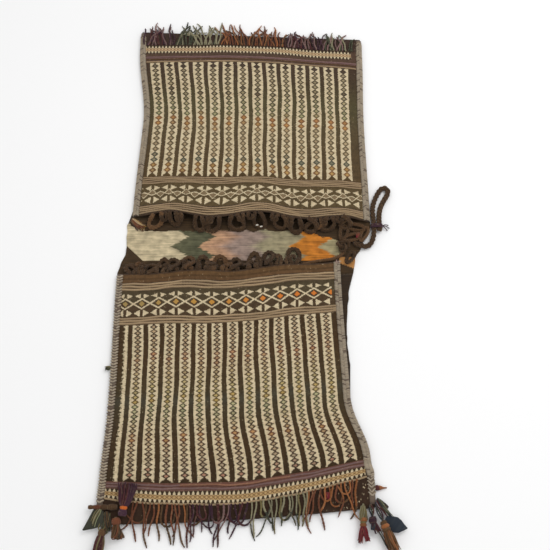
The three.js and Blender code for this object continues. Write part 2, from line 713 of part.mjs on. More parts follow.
// Edge cord of the lower mouth, loose at its right end, where it crosses the bridge to the knot
const edgeCordHeight = CLOTH_THICKNESS + CLEARANCE + EDGE_CORD / 2;
const edgeCordPlaces = [[-0.93, 0.6], [-0.87, 0.66], [-0.77, 0.74], [-0.66, 0.8], [-0.56, 0.83]];
const edgeCordPoints = edgeCordPlaces.map(([at, across]) => {
  const { x, y } = backPoint(at, across);
  return new THREE.Vector3(x, y, edgeCordHeight);
});
addPiece('lower_mouth_cord', cord(edgeCordPoints, EDGE_CORD, CORD_SIDES, EDGE_CORD_STEPS), GOAT_HAIR);

// Lead rope: off the bridge beside the knot, out to the right on the floor, and doubled into an eye.
// Its two parts lie side by side through the seizing, which lifts them by its wall.
const ROPE_POINTS = [
  [268, 5, 10.7], [284, -1, 10.5], [299, -2, 7.6], [310, 8, 6.8], [316, 25, 7.8], [317.9, 41, 8.8],
  [317.9, 62, 8.7], [317.4, 75, 7.2], [317, 91, 6.4], [319, 109, 6.4], [325, 127, 6.4], [333, 143, 6.4],
  [341, 154, 6.4], [350, 157, 6.4], [357, 150, 6.4], [355, 138, 6.4], [346, 122, 6.4], [338, 106, 6.4],
  [333.5, 90, 6.5], [331.5, 74, 7.4], [331.1, 60, 8.7], [331.1, 39, 8.7],
];
const ropePoints = ROPE_POINTS.map(([x, y, z]) => new THREE.Vector3(x, y, z));
addPiece('lead_rope', cord(ropePoints, ROPE_DIAMETER, ROPE_SIDES, ROPE_STEPS), GOAT_HAIR);

// The seizing: thread wound round both parts of the rope
const SEIZING_MIDDLE = new THREE.Vector3(324.5, 51, 8.7);
const SEIZING_SPACING = 13.2; // between the two parts of the rope
const SEIZING_SEGMENTS = 4;

function stadium(shape, radius) {
  const half = SEIZING_SPACING / 2;
  shape.absarc(half, 0, radius, -Math.PI / 2, Math.PI / 2, false);
  shape.absarc(-half, 0, radius, Math.PI / 2, 1.5 * Math.PI, false);
  return shape;
}

const seizingSection = stadium(new THREE.Shape(), ROPE_DIAMETER / 2 + 2 * CLEARANCE + SEIZING_WALL);
seizingSection.holes.push(stadium(new THREE.Path(), ROPE_DIAMETER / 2 + 2 * CLEARANCE));
const seizingGeometry = new THREE.ExtrudeGeometry(seizingSection, {
  depth: SEIZING_LENGTH, bevelEnabled: false, curveSegments: SEIZING_SEGMENTS,
});
const seizing = addPiece('rope_seizing', weld(seizingGeometry), PURPLE);
seizing.rotation.x = Math.PI / 2;
seizing.position.copy(SEIZING_MIDDLE).add(new THREE.Vector3(0, SEIZING_LENGTH / 2, 0));

export default bag;
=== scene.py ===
"""Dresses a woven double saddle bag: cloth, twined rows, bindings, loops, fringes, tassels and lead rope."""

import logging
import math
from dataclasses import dataclass, field, replace
from enum import Enum
from typing import Sequence, TypeVar, Union

import bmesh
import bpy
import numpy as np
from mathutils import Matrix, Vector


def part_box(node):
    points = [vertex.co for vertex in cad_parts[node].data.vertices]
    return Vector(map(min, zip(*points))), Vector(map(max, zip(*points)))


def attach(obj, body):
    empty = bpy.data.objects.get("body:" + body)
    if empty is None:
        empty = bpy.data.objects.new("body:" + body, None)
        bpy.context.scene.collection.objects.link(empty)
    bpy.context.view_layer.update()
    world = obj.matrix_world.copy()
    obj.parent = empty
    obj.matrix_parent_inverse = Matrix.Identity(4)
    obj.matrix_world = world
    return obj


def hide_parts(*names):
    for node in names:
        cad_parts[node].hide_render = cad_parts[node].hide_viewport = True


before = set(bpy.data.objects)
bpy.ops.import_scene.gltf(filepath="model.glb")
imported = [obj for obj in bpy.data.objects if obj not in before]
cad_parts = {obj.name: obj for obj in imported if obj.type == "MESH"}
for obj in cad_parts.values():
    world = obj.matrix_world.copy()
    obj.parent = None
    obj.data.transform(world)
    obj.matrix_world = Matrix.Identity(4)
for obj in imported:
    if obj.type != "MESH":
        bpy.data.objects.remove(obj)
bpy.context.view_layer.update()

LOG = logging.getLogger("saddle_bag")
MM = 0.001
BODY = "root"

TURN = 2 * math.pi
UP = np.array([0.0, 0.0, 1.0])

Array = np.ndarray
Choice = TypeVar("Choice")
Colour = tuple[float, float, float, float]
Material = bpy.types.Material
Number = Union[float, Array]
Piece = bpy.types.Object
Stops = Sequence[tuple[float, Colour]]


def srgb(red: int, green: int, blue: int) -> Colour:
    """Turns a screen colour into Blender's linear colour.

    Args:
        red: Red, 0 to 255.
        green: Green, 0 to 255.
        blue: Blue, 0 to 255.

    Returns:
        The linear colour with full opacity.
    """
    shares = (value / 255 for value in (red, green, blue))
    linear = [s / 12.92 if s <= 0.04045 else ((s + 0.055) / 1.055) ** 2.4 for s in shares]
    return (linear[0], linear[1], linear[2], 1.0)


def stops(*rows: tuple[float, int, int, int]) -> Stops:
    """Turns rows of a place and a screen colour into the stops of a ramp."""
    return tuple((place, srgb(red, green, blue)) for place, red, green, blue in rows)


def scatter(seed: float) -> float:
    """Gives a repeatable number from 0 to 1 for a seed."""
    value = math.sin(seed * 12.9898 + 4.1414) * 43758.5453
    return value - math.floor(value)


def vary(seed: float, low: float, high: float) -> float:
    """Gives a repeatable number between two limits for a seed."""
    return low + (high - low) * scatter(seed)


def pick(options: Sequence[Choice], seed: float) -> Choice:
    """Picks one of several, always the same one for a seed."""
    return options[int(scatter(seed) * len(options))]


def lerp(start: Number, end: Number, share: Number) -> Number:
    """Goes from start to end by a share."""
    return start + (end - start) * share


def smoothstep(value: Number, low: Number, high: Number) -> Number:
    """Rises smoothly from 0 at low to 1 at high."""
    share = np.clip((value - low) / (high - low), 0, 1)
    return share * share * (3 - 2 * share)


# Shader kit

Value = Union["Wire", float, Sequence[float]]

# The colour sockets of a Mix node go by number, since its other sockets have the same names
MIX_SHARE, MIX_FIRST, MIX_SECOND, MIXED = 0, 6, 7, 2


class Wire:
    """A shader socket that takes part in Python expressions."""

    def __init__(self, loom: "Loom", socket: bpy.types.NodeSocket) -> None:
        """Keeps the socket and the loom that adds nodes."""
        self.loom = loom
        self.socket = socket

    def math(self, operation: str, *others: Value) -> "Wire":
        """Adds a Math node with this socket as its first input and others after it."""
        inputs = dict(enumerate((self, *others)))
        return self.loom.node("ShaderNodeMath", {"operation": operation}, inputs)

    def _reflected(self, operation: str, first: Value) -> "Wire":
        """Adds a Math node with this socket as its second input."""
        return self.loom.node("ShaderNodeMath", {"operation": operation}, {0: first, 1: self})

    def __add__(self, other: Value) -> "Wire":
        """Adds."""
        return self.math("ADD", other)

    __radd__ = __add__

    def __sub__(self, other: Value) -> "Wire":
        """Subtracts."""
        return self.math("SUBTRACT", other)

    def __rsub__(self, other: Value) -> "Wire":
        """Subtracts this from a number."""
        return self._reflected("SUBTRACT", other)

    def __mul__(self, other: Value) -> "Wire":
        """Multiplies."""
        return self.math("MULTIPLY", other)

    __rmul__ = __mul__

    def __truediv__(self, other: Value) -> "Wire":
        """Divides."""
        return self.math("DIVIDE", other)

    def __lt__(self, other: Value) -> "Wire":
        """Gives 1 where this is less, and 0 elsewhere."""
        return self.math("LESS_THAN", other)

    def __gt__(self, other: Value) -> "Wire":
        """Gives 1 where this is greater, and 0 elsewhere."""
        return self.math("GREATER_THAN", other)

    def __abs__(self) -> "Wire":
        """Gives the size without the sign."""
        return self.math("ABSOLUTE")

    def floor(self) -> "Wire":
        """Rounds down."""
        return self.math("FLOOR")

    def fraction(self) -> "Wire":
        """Keeps what follows the whole number."""
        return self.math("FRACT")

    def sine(self) -> "Wire":
        """Takes the sine."""
        return self.math("SINE")

    def most(self, other: Value) -> "Wire":
        """Keeps the larger of two."""
        return self.math("MAXIMUM", other)

    def between(self, low: float, high: float) -> "Wire":
        """Gives 1 between two numbers, and 0 elsewhere."""
        return (self > low) * (self < high)

    def rise(self, low: float, high: float) -> "Wire":
        """Rises smoothly from 0 at low to 1 at high."""
        limits = {"Value": self, "From Min": low, "From Max": high}
        return self.loom.node("ShaderNodeMapRange", {"interpolation_type": "SMOOTHSTEP"}, limits)

    def knotted(self, size: float) -> "Wire":
        """Steps a measure from knot to knot, so that slanting edges come out as woven steps."""
        return ((self / size).floor() + 0.5) * size


class Loom:
    """Adds the nodes of one material."""

    def __init__(self, name: str) -> None:
        """Starts an empty material.

        Args:
            name: The material's name.
        """
        self.material = bpy.data.materials.new(name)
        self.material.use_nodes = True
        self.tree = self.material.node_tree
        self.tree.nodes.clear()

    def node(
        self,
        kind: str,
        settings: dict[str, object] | None = None,
        inputs: dict[Union[str, int], Value] | None = None,
        output: Union[str, int, None] = 0,
    ) -> Wire | None:
        """Adds any node.

        Args:
            kind: The node's type.
            settings: What is set first; a ramp's stops, or its steps with no blending, are pairs of
                place and colour.
            inputs: Values or links of its sockets, by name or number.
            output: The socket that is given back, or none for a node that ends the tree.

        Returns:
            The chosen output.
        """
        made = self.tree.nodes.new(kind)
        for key, value in (settings or {}).items():
            if key in ("stops", "steps"):
                made.color_ramp.interpolation = "CONSTANT" if key == "steps" else "LINEAR"
                self._set_stops(made.color_ramp, value)
            else:
                setattr(made, key, value)
        for key, value in (inputs or {}).items():
            if isinstance(value, Wire):
                self.tree.links.new(value.socket, made.inputs[key])
            else:
                made.inputs[key].default_value = value
        return None if output is None else Wire(self, made.outputs[output])

    @staticmethod
    def _set_stops(ramp: bpy.types.ColorRamp, stops: Stops) -> None:
        """Puts a ramp's colours at their places.

        Args:
            ramp: The ramp.
            stops: Its places and colours.
        """
        while len(ramp.elements) < len(stops):
            ramp.elements.new(1.0)
        for element, (place, colour) in zip(ramp.elements, stops):
            element.position = place
            element.color = colour

    def ramp(self, place: Value, stops: Stops, kind: str = "stops") -> Wire:
        """Looks a colour up along stops, or along steps with no blending."""
        return self.node("ShaderNodeValToRGB", {kind: stops}, {0: place})

    def mix(self, share: Value, first: Value, second: Value) -> Wire:
        """Mixes two colours by a share."""
        inputs = {MIX_SHARE: share, MIX_FIRST: first, MIX_SECOND: second}
        return self.node("ShaderNodeMix", {"data_type": "RGBA"}, inputs, MIXED)

    def shaded(self, colour: Value, shade: Wire) -> Wire:
        """Multiplies a colour by a number.

        Args:
            colour: The colour.
            shade: The number.

        Returns:
            The product.
        """
        settings = {"data_type": "RGBA", "blend_type": "MULTIPLY"}
        grey = self.place(shade, shade, shade)
        inputs = {MIX_SHARE: 1.0, MIX_FIRST: colour, MIX_SECOND: grey}
        return self.node("ShaderNodeMix", settings, inputs, MIXED)

    def measure(self, name: str) -> tuple[Wire, Wire, Wire]:
        """Reads a mesh's own measures.

        Args:
            name: The attribute's name.

        Returns:
            Its three numbers.
        """
        vector = self.node("ShaderNodeAttribute", {"attribute_name": name}, None, "Vector")
        first = self.node("ShaderNodeSeparateXYZ", None, {0: vector})
        outputs = first.socket.node.outputs
        return first, Wire(self, outputs[1]), Wire(self, outputs[2])

    def place(self, x: Value, y: Value, z: Value = 0.0) -> Wire:
        """Joins three numbers into a vector."""
        return self.node("ShaderNodeCombineXYZ", None, {0: x, 1: y, 2: z})

    def noise(self, vector: Wire, scale: float, detail: float = 3.0) -> Wire:
        """Adds soft noise from 0 to 1."""
        return self.node("ShaderNodeTexNoise", None, {"Vector": vector, "Scale": scale, "Detail": detail})

    def speckle(self, vector: Wire) -> Wire:
        """Adds a hard random number for each whole place of a vector."""
        return self.node("ShaderNodeTexWhiteNoise", {"noise_dimensions": "3D"}, {"Vector": vector})

    @staticmethod
    def rib(x: Wire, y: Wire, warp: float, weft: float) -> Wire:
        """Gives the ribs of plain weave from the spacing of its warp and weft."""
        return (y * (TURN / weft) + (x / warp).floor() * math.pi).sine() * 0.3

    def surface(self, colour: Value, roughness: Value, height: Wire, depth: float) -> Material:
        """Ends the material in a dull woollen surface.

        Args:
            colour: Its colour.
            roughness: Its roughness.
            height: Bumps from 0 to 1.
            depth: The depth of the bumps in metres.

        Returns:
            The material.
        """
        normal = self.node("ShaderNodeBump", None, {"Height": height, "Distance": depth})
        shader = self.node("ShaderNodeBsdfPrincipled", None, {
            "Base Color": colour, "Roughness": roughness, "Normal": normal,
            "Specular IOR Level": 0.2, "Sheen Weight": 0.1,
        })
        self.node("ShaderNodeOutputMaterial", None, {"Surface": shader}, None)
        return self.material


# Mesh kit

def unit(vectors: Array) -> Array:
    """Scales vectors to length 1."""
    return vectors / np.maximum(np.linalg.norm(vectors, axis=-1, keepdims=True), 1e-9)


def squared(wave: Array, power: float) -> Array:
    """Bends a wave between -1 and 1 towards a square one."""
    return np.sign(wave) * np.abs(wave) ** power


def travelled(path: Array) -> Array:
    """Measures the way along a path to each of its points."""
    return np.concatenate([[0], np.cumsum(np.linalg.norm(np.diff(path, axis=0), axis=1))])


# The number of straight steps between two given points of a smooth path
CURVE_STEPS = 12


def smooth_path(points: Sequence[Sequence[float]], spacing: float) -> Array:
    """Runs a smooth curve through points.

    Args:
        points: The points, in order.
        spacing: The distance between the points that come out.

    Returns:
        Evenly spaced points on the curve.
    """
    given = np.asarray(points, float)
    padded = np.vstack([2 * given[0] - given[1], given, 2 * given[-1] - given[-2]])
    share = np.linspace(0, 1, CURVE_STEPS + 1)[:-1, None]
    dense = []
    for p0, p1, p2, p3 in zip(padded, padded[1:], padded[2:], padded[3:]):
        spans = (p1 - p0, p2 - p1, p3 - p2)
        before, here, after = (max(math.sqrt(np.linalg.norm(span)), 1e-4) for span in spans)
        out = here * (spans[0] / before - (p2 - p0) / (before + here) + spans[1] / here)
        into = here * (spans[1] / here - (p3 - p1) / (here + after) + spans[2] / after)
        square, cube = share**2, share**3
        dense.append(
            (2 * cube - 3 * square + 1) * p1 + (cube - 2 * square + share) * out
            + (3 * square - 2 * cube) * p2 + (cube - square) * into
        )
    line = np.vstack([*dense, given[-1:]])
    run = travelled(line)
    count = max(3, int(round(run[-1] / spacing)) + 1)
    places = np.linspace(0, run[-1], count)
    return np.stack([np.interp(places, run, line[:, axis]) for axis in range(line.shape[1])], axis=1)


def carried_frames(path: Array) -> tuple[Array, Array]:
    """Carries a pair of cross directions along a path without twist.

    Args:
        path: The path's points.

    Returns:
        The sideways and the upward direction at each point.
    """
    tangents = unit(np.gradient(path, axis=0))
    up = UP if abs(tangents[0][2]) < 0.9 else np.array([0.0, 1.0, 0.0])
    side = unit(np.cross(tangents[0], up))
    sides = []
    for tangent in tangents:
        side = unit(side - tangent * float(side @ tangent))
        sides.append(side)
    across = np.array(sides)
    return across, np.cross(across, tangents)


def placed(name: str, data: bpy.types.ID) -> Piece:
    """Puts data into the scene as an object.

    Args:
        name: The object's name.
        data: Its mesh, camera or lamp.

    Returns:
        The object.
    """
    made = bpy.data.objects.new(name, data)
    bpy.context.scene.collection.objects.link(made)
    return made


class Lay(Enum):
    """How the strands of a cord go round each other."""

    TWIST = "twist"
    PLAIT = "plait"


@dataclass(frozen=True)
class Ply:
    """How a cord is made: its lay, the number of strands, the length of one turn and a strand's sides."""

    lay: Lay
    count: int
    pitch: float
    sides: int


@dataclass
class Skein:
    """Gathers one piece's points and faces, in millimetres, with measures for its finish at each point."""

    points: list[Array] = field(default_factory=list)
    faces: list[list[int]] = field(default_factory=list)
    measures: list[Array] = field(default_factory=list)
    count: int = 0

    def add(self, points: Array, faces: Sequence[Sequence[int]], measures: Array) -> None:
        """Adds a mesh of points and faces.

        Args:
            points: The points.
            faces: Rows of point numbers, counted from this mesh's first point.
            measures: Three numbers for each point.
        """
        self.faces += [[index + self.count for index in face] for face in faces]
        self.points.append(points)
        self.measures.append(np.broadcast_to(measures, points.shape))
        self.count += len(points)

    def add_loft(self, rings: Array, shade: float, dye: "Dye") -> None:
        """Adds a solid through rings of points, closed at both ends.

        Args:
            rings: The rings, in order, each with as many points.
            shade: A number from 0 to 1 that tells this solid from others.
            dye: Its colour.
        """
        count, sides = rings.shape[:2]
        starts = np.arange(count - 1)[:, None] * sides
        here = np.arange(sides)[None]
        following = (here + 1) % sides
        near = np.stack([starts + here, starts + following], -1)
        quads = np.concatenate([near, near[..., ::-1] + sides], -1)
        last = (count - 1) * sides
        ends = [list(range(sides))[::-1], [last + i for i in range(sides)]]
        along = np.repeat(travelled(rings.mean(axis=1)), sides)
        measures = np.column_stack([along, np.full_like(along, shade), np.full_like(along, dye.number)])
        self.add(rings.reshape(-1, 3), quads.reshape(-1, 4).tolist() + ends, measures)

    def add_tube(self, path: Array, radius: Number, sides: int, shade: float, dye: "Dye") -> None:
        """Adds a round strand along a path, closed at both ends.

        Args:
            path: The path's points.
            radius: One radius, or one for each point.
            sides: The number of sides.
            shade: A number from 0 to 1 that tells this strand from others.
            dye: Its colour.
        """
        across, up = carried_frames(path)
        turns = np.arange(sides)[None, :, None] * TURN / sides
        thick = np.broadcast_to(np.asarray(radius, float), len(path))[:, None, None]
        ring = np.cos(turns) * across[:, None] + np.sin(turns) * up[:, None]
        self.add_loft(path[:, None] + thick * ring, shade, dye)

    def add_strands(self, path: Array, radius: Number, ply: Ply, shade: float, dye: "Dye") -> None:
        """Adds strands that go round each other along a path.

        Args:
            path: The path's points.
            radius: The whole cord's radius, one or one for each point.
            ply: How the cord is made.
            shade: A number from 0 to 1 that tells this cord from others.
            dye: Its colour.
        """
        across, up = carried_frames(path)
        along = travelled(path)
        thick = np.broadcast_to(np.asarray(radius, float), len(path))
        for strand in range(ply.count):
            part = strand / ply.count
            phase = TURN * (along / ply.pitch + part)
            if ply.lay is Lay.TWIST:
                offsets, own = (np.cos(phase), np.sin(phase)), 0.5
            else:
                offsets, own = (1.15 * np.sin(phase), 0.6 * np.sin(2 * phase)), 0.46
            shift = (1 - own) * thick[:, None]
            line = path + shift * (offsets[0][:, None] * across + offsets[1][:, None] * up)
            self.add_tube(line, own * thick * 1.08, ply.sides, 0.8 * shade + 0.2 * part, dye)

    def piece(
        self, name: str, material: Material, slot: str, node: str = "", measure: str = "yarn",
    ) -> Piece:
        """Makes the gathered mesh a piece of the bag.

        Args:
            name: The piece's name.
            material: Its finish.
            slot: Its material slot; not used.
            node: The solid that it replaces, if there is one.
            measure: The name under which the finish reads its measures.

        Returns:
            The piece, riding on the bag's body.
        """
        mesh = bpy.data.meshes.new(name)
        points = np.vstack(self.points) * MM
        points[:, 2] = np.maximum(points[:, 2], 0)
        mesh.from_pydata(points.tolist(), [], self.faces)
        turned = bmesh.new()
        turned.from_mesh(mesh)
        bmesh.ops.recalc_face_normals(turned, faces=turned.faces)
        turned.to_mesh(mesh)
        turned.free()
        mesh.polygons.foreach_set("use_smooth", [True] * len(mesh.polygons))
        told = mesh.attributes.new(measure, "FLOAT_VECTOR", "POINT")
        told.data.foreach_set("vector", np.vstack(self.measures).astype(np.float32).ravel())
        mesh.materials.append(material)
        mesh.update()
        made = placed(name, mesh)
        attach(made, BODY)
        if node:
            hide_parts(node)
        LOG.info("%s: %d faces", name, len(mesh.polygons))
        return made


# The form of the bag

@dataclass(frozen=True)
class Station:
    """One place along the bag's outline: how far each long edge is drawn in, and how a row tilts and bows."""

    at: float
    left: float
    right: float
    tilt: float
    bow: float = 0.0


@dataclass(frozen=True)
class BagForm:
    """The lying bag's shape in millimetres. Places along it: 2 and -2 the folds, 1 and -1 the mouths."""

    width: float = 580.0
    depth: float = 554.0
    bridge: float = 140.0
    thickness: float = 4.0
    seam_gap: float = 1.2
    seam_inset: float = 6.0
    slack: float = 12.0
    fold_rise: float = 190.0
    upper_lift: float = 12.0
    lower_lift: float = 6.0
    mouth_reach: float = 190.0
    wave_height: float = 5.0
    wave_draw: float = 6.0
    wave_length: float = 230.0
    wave_crest: float = 20.0
    lower_overhang: float = 25.0
    lower_overhang_reach: float = 380.0
    upper_overhang: float = 14.0
    upper_overhang_reach: float = 260.0
    drawn_from: float = 0.72
    right_bulge: tuple[tuple[float, float], ...] = (
        (-1.45, 0), (-1.36, -7), (-1.27, -9), (-1.175, -6), (-1.11, -2.5), (-1.034, 7), (-0.96, 11),
        (-0.45, 9), (-0.1, 7), (0.1, 10), (0.3, 13), (0.6, 9), (0.9, 2), (1, 0),
    )
    stripe_count: int = 14
    upper_stripe_half: float = 13.0
    lower_stripe_half: float = 12.4
    upper_margins: tuple[float, float] = (14.0, 25.0)
    lower_margins: tuple[float, float] = (0.0, 16.0)
    binding_height: float = 3.0
    bound_inside: float = 8.5
    bag_end: float = 2.004
    search_rounds: int = 12
    stations: tuple[Station, ...] = (
        Station(-2, -2, -1, 17, 8),
        Station(-1.945, -1.5, 1, 24, 33),
        Station(-1.87, 0, 7, 23, 24),
        Station(-1.6, 5, 44, 20, 14),
        Station(-1, 0, 32, 16, 11),
        Station(0, 16, 12, 3),
        Station(1, 12, -19, -7),
        Station(1.5, 34, -16, -10),
        Station(1.93, 10, -21, -12, -10),
        Station(2, 8, -22, -13),
    )

    def outline(self, name: str, at: Number) -> Number:
        """Looks up the outline.

        Args:
            name: The field of the stations.
            at: Places along the bag.

        Returns:
            The field's value there.
        """
        places = np.array([station.at for station in self.stations])
        values = np.array([getattr(station, name) for station in self.stations])
        after = np.clip(np.searchsorted(places, at), 1, len(places) - 1)
        share = smoothstep(at, places[after - 1], places[after])
        return lerp(values[after - 1], values[after], share)

    def centre_y(self, at: Number) -> Number:
        """Gives the middle of the cloth at a place along the bag."""
        size = np.abs(at)
        return np.sign(at) * (np.minimum(1, size) * self.bridge / 2 + np.maximum(0, size - 1) * self.depth)

    def from_mouth(self, at: Number) -> Number:
        """Gives the distance from the pouch's mouth."""
        return (np.abs(at) - 1) * self.depth

    def at_from_mouth(self, pouch: int, distance: Number) -> Number:
        """Gives the place at a distance from a pouch's mouth."""
        return pouch * (1 + distance / self.depth)

    def at_from_fold(self, pouch: int, distance: Number) -> Number:
        """Gives the place at a distance from a pouch's folded end."""
        return pouch * (2 - distance / self.depth)

    def row_shift(self, at: Number, across: Number) -> Number:
        """Gives how far a row of weaving lies towards +Y of its middle."""
        return self.outline("tilt", at) * across + self.outline("bow", at) * across**2

    def back_point(self, at: Number, across: Number) -> tuple[Number, Number]:
        """Places a point of the back, with across from -1 at the left edge to 1 at the right.

        Args:
            at: Places along the bag.
            across: Places across it, from -1 to 1.

        Returns:
            Its x and y.
        """
        left = -self.width / 2 + self.outline("left", at)
        right = self.width / 2 - self.outline("right", at)
        return lerp(left, right, (across + 1) / 2), self.centre_y(at) + self.row_shift(at, across)

    def face_edges(self, at: Number) -> tuple[Number, Number]:
        """Gives the face's left and right edge, drawn in from the back beside it.

        Args:
            at: Places along the bag.

        Returns:
            The x of both edges.
        """
        upper = np.asarray(at) > 0
        m = self.from_mouth(at)
        left_in = self.upper_overhang * (1 - smoothstep(m, 0, self.upper_overhang_reach))
        right_in = self.lower_overhang * (1 - smoothstep(m, 0, self.lower_overhang_reach))
        left = self.back_point(at, -1)[0] + self.seam_inset + np.where(upper, left_in, 0)
        right = self.back_point(at, 1)[0] - self.seam_inset - np.where(upper, 0, right_in)
        return left, right

    def stripe_field(self, pouch: int, at: Number) -> tuple[float, Number]:
        """Gives where a face's stripes begin, from its left edge, and how wide they are together.

        Args:
            pouch: 1 for the upper pouch, -1 for the lower.
            at: Places along the bag.

        Returns:
            The start and the width.
        """
        left, right = self.face_edges(at)
        start, end = self.upper_margins if pouch > 0 else self.lower_margins
        return start, right - left - start - end

    def stripe_pitch(self, pouch: int) -> float:
        """Gives the distance from stripe to stripe half way along a face."""
        return float(self.stripe_field(pouch, 1.5 * pouch)[1]) / self.stripe_count

    def stripe_half(self, pouch: int) -> float:
        """Gives half the width of a pouch's stripes."""
        return self.upper_stripe_half if pouch > 0 else self.lower_stripe_half

    def back_drawn_in(self, at: Number) -> Number:
        """Gives how far the back's left edge is drawn in under the upper left binding."""
        fading = 1 - smoothstep(self.from_mouth(at), 0, self.upper_overhang_reach)
        return self.upper_overhang * fading * smoothstep(at, self.drawn_from, 1)

    def back_let_out(self, at: Number) -> Number:
        """Gives how far the back's right edge stands out of the plain outline."""
        places, values = zip(*self.right_bulge)
        return np.interp(at, places, values)

    def crown(self, across: Number) -> Number:
        """Gives the pouch's crown: full in the middle, nothing at the side seams."""
        return 1 - across**4

    def mouth_fade(self, at: Number) -> Number:
        """Fades from 1 at a mouth to 0 inside the pouch."""
        return np.maximum(0, 1 - self.from_mouth(at) / self.mouth_reach) ** 2

    def mouth_wave(self, across: Number) -> Number:
        """Gives the wave of a mouth, from -1 to 1."""
        return np.cos(TURN * (across * self.width / 2 - self.wave_crest) / self.wave_length)

    def face_point(self, at: Number, across: Number) -> tuple[Number, Number]:
        """Places a point of a face in plan.

        Args:
            at: Places along the bag.
            across: Places across it, from -1 to 1.

        Returns:
            Its x and y.
        """
        left, right = self.face_edges(at)
        draw = self.wave_draw * self.mouth_wave(across) * self.crown(across) * self.mouth_fade(at)
        sway, drift = self.wander(at, across)
        y = self.centre_y(at) + self.row_shift(at, across) + np.sign(at) * draw + drift
        return lerp(left, right, (across + 1) / 2) + sway, y

    def wander(self, at: Number, across: Number) -> tuple[Number, Number]:
        """Gives how far hand-woven lines wander sideways and lengthways, nothing at the edges of a face.

        Args:
            at: Places along the bag.
            across: Places across it, from -1 to 1.

        Returns:
            Both distances.
        """
        m = self.from_mouth(at)
        x = across * self.width / 2
        sway = 1.5 * np.sin(m / 58 + x / 75) + 0.8 * np.sin(m / 21 + x / 33 + np.sign(at))
        drift = 1.7 * np.sin(x / 64 + 1.9 * np.sign(at)) + 0.9 * np.sin(x / 27 + m / 120)
        inside = smoothstep(m, 0, 50) * smoothstep(self.depth - m, 0, 40)
        return sway * self.crown(across), drift * self.crown(across) * inside

    def face_under(self, at: Number, across: Number) -> Number:
        """Gives the height of a face's underside.

        Args:
            at: Places along the bag.
            across: Places across it, from -1 to 1.

        Returns:
            The height.
        """
        slack = self.slack * smoothstep(self.depth - self.from_mouth(at), 0, self.fold_rise)
        most = np.where(np.asarray(at) > 0, self.upper_lift, self.lower_lift)
        lift = (most + self.wave_height * self.mouth_wave(across)) * self.mouth_fade(at)
        return self.thickness + self.seam_gap + self.crown(across) * (slack + lift)

    def ripple(self, at: Number, across: Number) -> Number:
        """Gives the small hollows and swellings of old cloth, nothing at the seams and folds.

        Args:
            at: Places along the bag.
            across: Places across it, from -1 to 1.

        Returns:
            The height to add.
        """
        m = self.from_mouth(at)
        x = across * self.width / 2
        rough = (
            0.9 * np.sin(x / 41 + m / 97 + 1.3 * np.sign(at)) * np.sin(m / 63 - x / 150)
            + 0.6 * np.sin(x / 23 - m / 71 + 0.7) * np.sin(m / 38 + x / 90 + np.sign(at))
            + 0.5 * np.sin(x / 61 + 2.1) * np.sin(m / 24 + 0.4 * np.sin(x / 50))
        )
        return rough * self.crown(across) * smoothstep(self.depth - m, 0, 60)

    def face_top(self, at: Number, across: Number) -> Number:
        """Gives the height of a face's upper side between its stripes."""
        return self.face_under(at, across) + self.thickness + self.ripple(at, across)

    def on_face(self, at: Number, across: Number, rise: Number = 0.0) -> Array:
        """Places points on a face's upper side.

        Args:
            at: Places along the bag.
            across: Places across the face.
            rise: Height above the face.

        Returns:
            The points, one row each.
        """
        x, y = self.face_point(at, across)
        z = self.face_top(at, across) + rise
        return np.stack(np.broadcast_arrays(x, y, z), axis=-1)

    def height_at(self, x: Array, y: Array) -> Array:
        """Gives the height of the lying bag at places in plan, and 0 beside it.

        Args:
            x: Places from left to right.
            y: Places from bottom to top.

        Returns:
            The heights.
        """
        side = np.where(y < 0, -1.0, 1.0)
        at, across = 1.5 * side, np.zeros_like(x)
        for _ in range(self.search_rounds):
            level = side * (y - self.row_shift(at, np.clip(across, -1, 1))) - self.bridge / 2
            beyond = level / np.where(level < 0, self.bridge / 2, self.depth)
            at = (at + side * np.clip(1 + beyond, 0, 2.5)) / 2
            left, right = self.face_edges(np.clip(at, -2, 2))
            across = (x - left) / (right - left) * 2 - 1
        inner = np.clip(across, -1, 1)
        top = self.face_top(np.clip(np.abs(at), 1, 2) * side, inner)
        edge = np.minimum(x - left, right - x)
        bound = np.where(edge < self.bound_inside, self.binding_height, 0)
        on_back = (np.abs(at) <= self.bag_end) & (edge > -self.seam_inset - self.lower_overhang)
        on_face = (np.abs(at) >= 1) & (np.abs(at) <= self.bag_end) & (edge > -self.seam_inset)
        return np.where(on_face, top + bound, np.where(on_back, self.thickness, 0.0))

    def lay(self, plan: Array, radius: float, ease: int = 4) -> Array:
        """Lays a strand along a way in plan over the bag and the floor.

        Args:
            plan: Evenly spaced points in plan.
            radius: The strand's radius.
            ease: Over how many points on each side a step is smoothed.

        Returns:
            The strand's points.
        """
        heights = self.height_at(plan[:, 0], plan[:, 1])
        reach = 2 * ease
        padded = np.pad(heights, reach, mode="edge")
        highest = np.max([padded[i:i + len(heights) + reach] for i in range(reach + 1)], axis=0)
        eased = np.convolve(highest, np.full(reach + 1, 1 / (reach + 1)), mode="valid")
        return np.column_stack([plan, np.maximum(eased, heights) + radius])

    def corner(self, side: int, inward: float, up: float) -> tuple[float, float]:
        """Measures in from a lower corner: from the edge, and up from the fold."""
        x, y = self.back_point(-2, side)
        return float(x - side * inward), float(y + up)


FORM = BagForm()


# Finishes

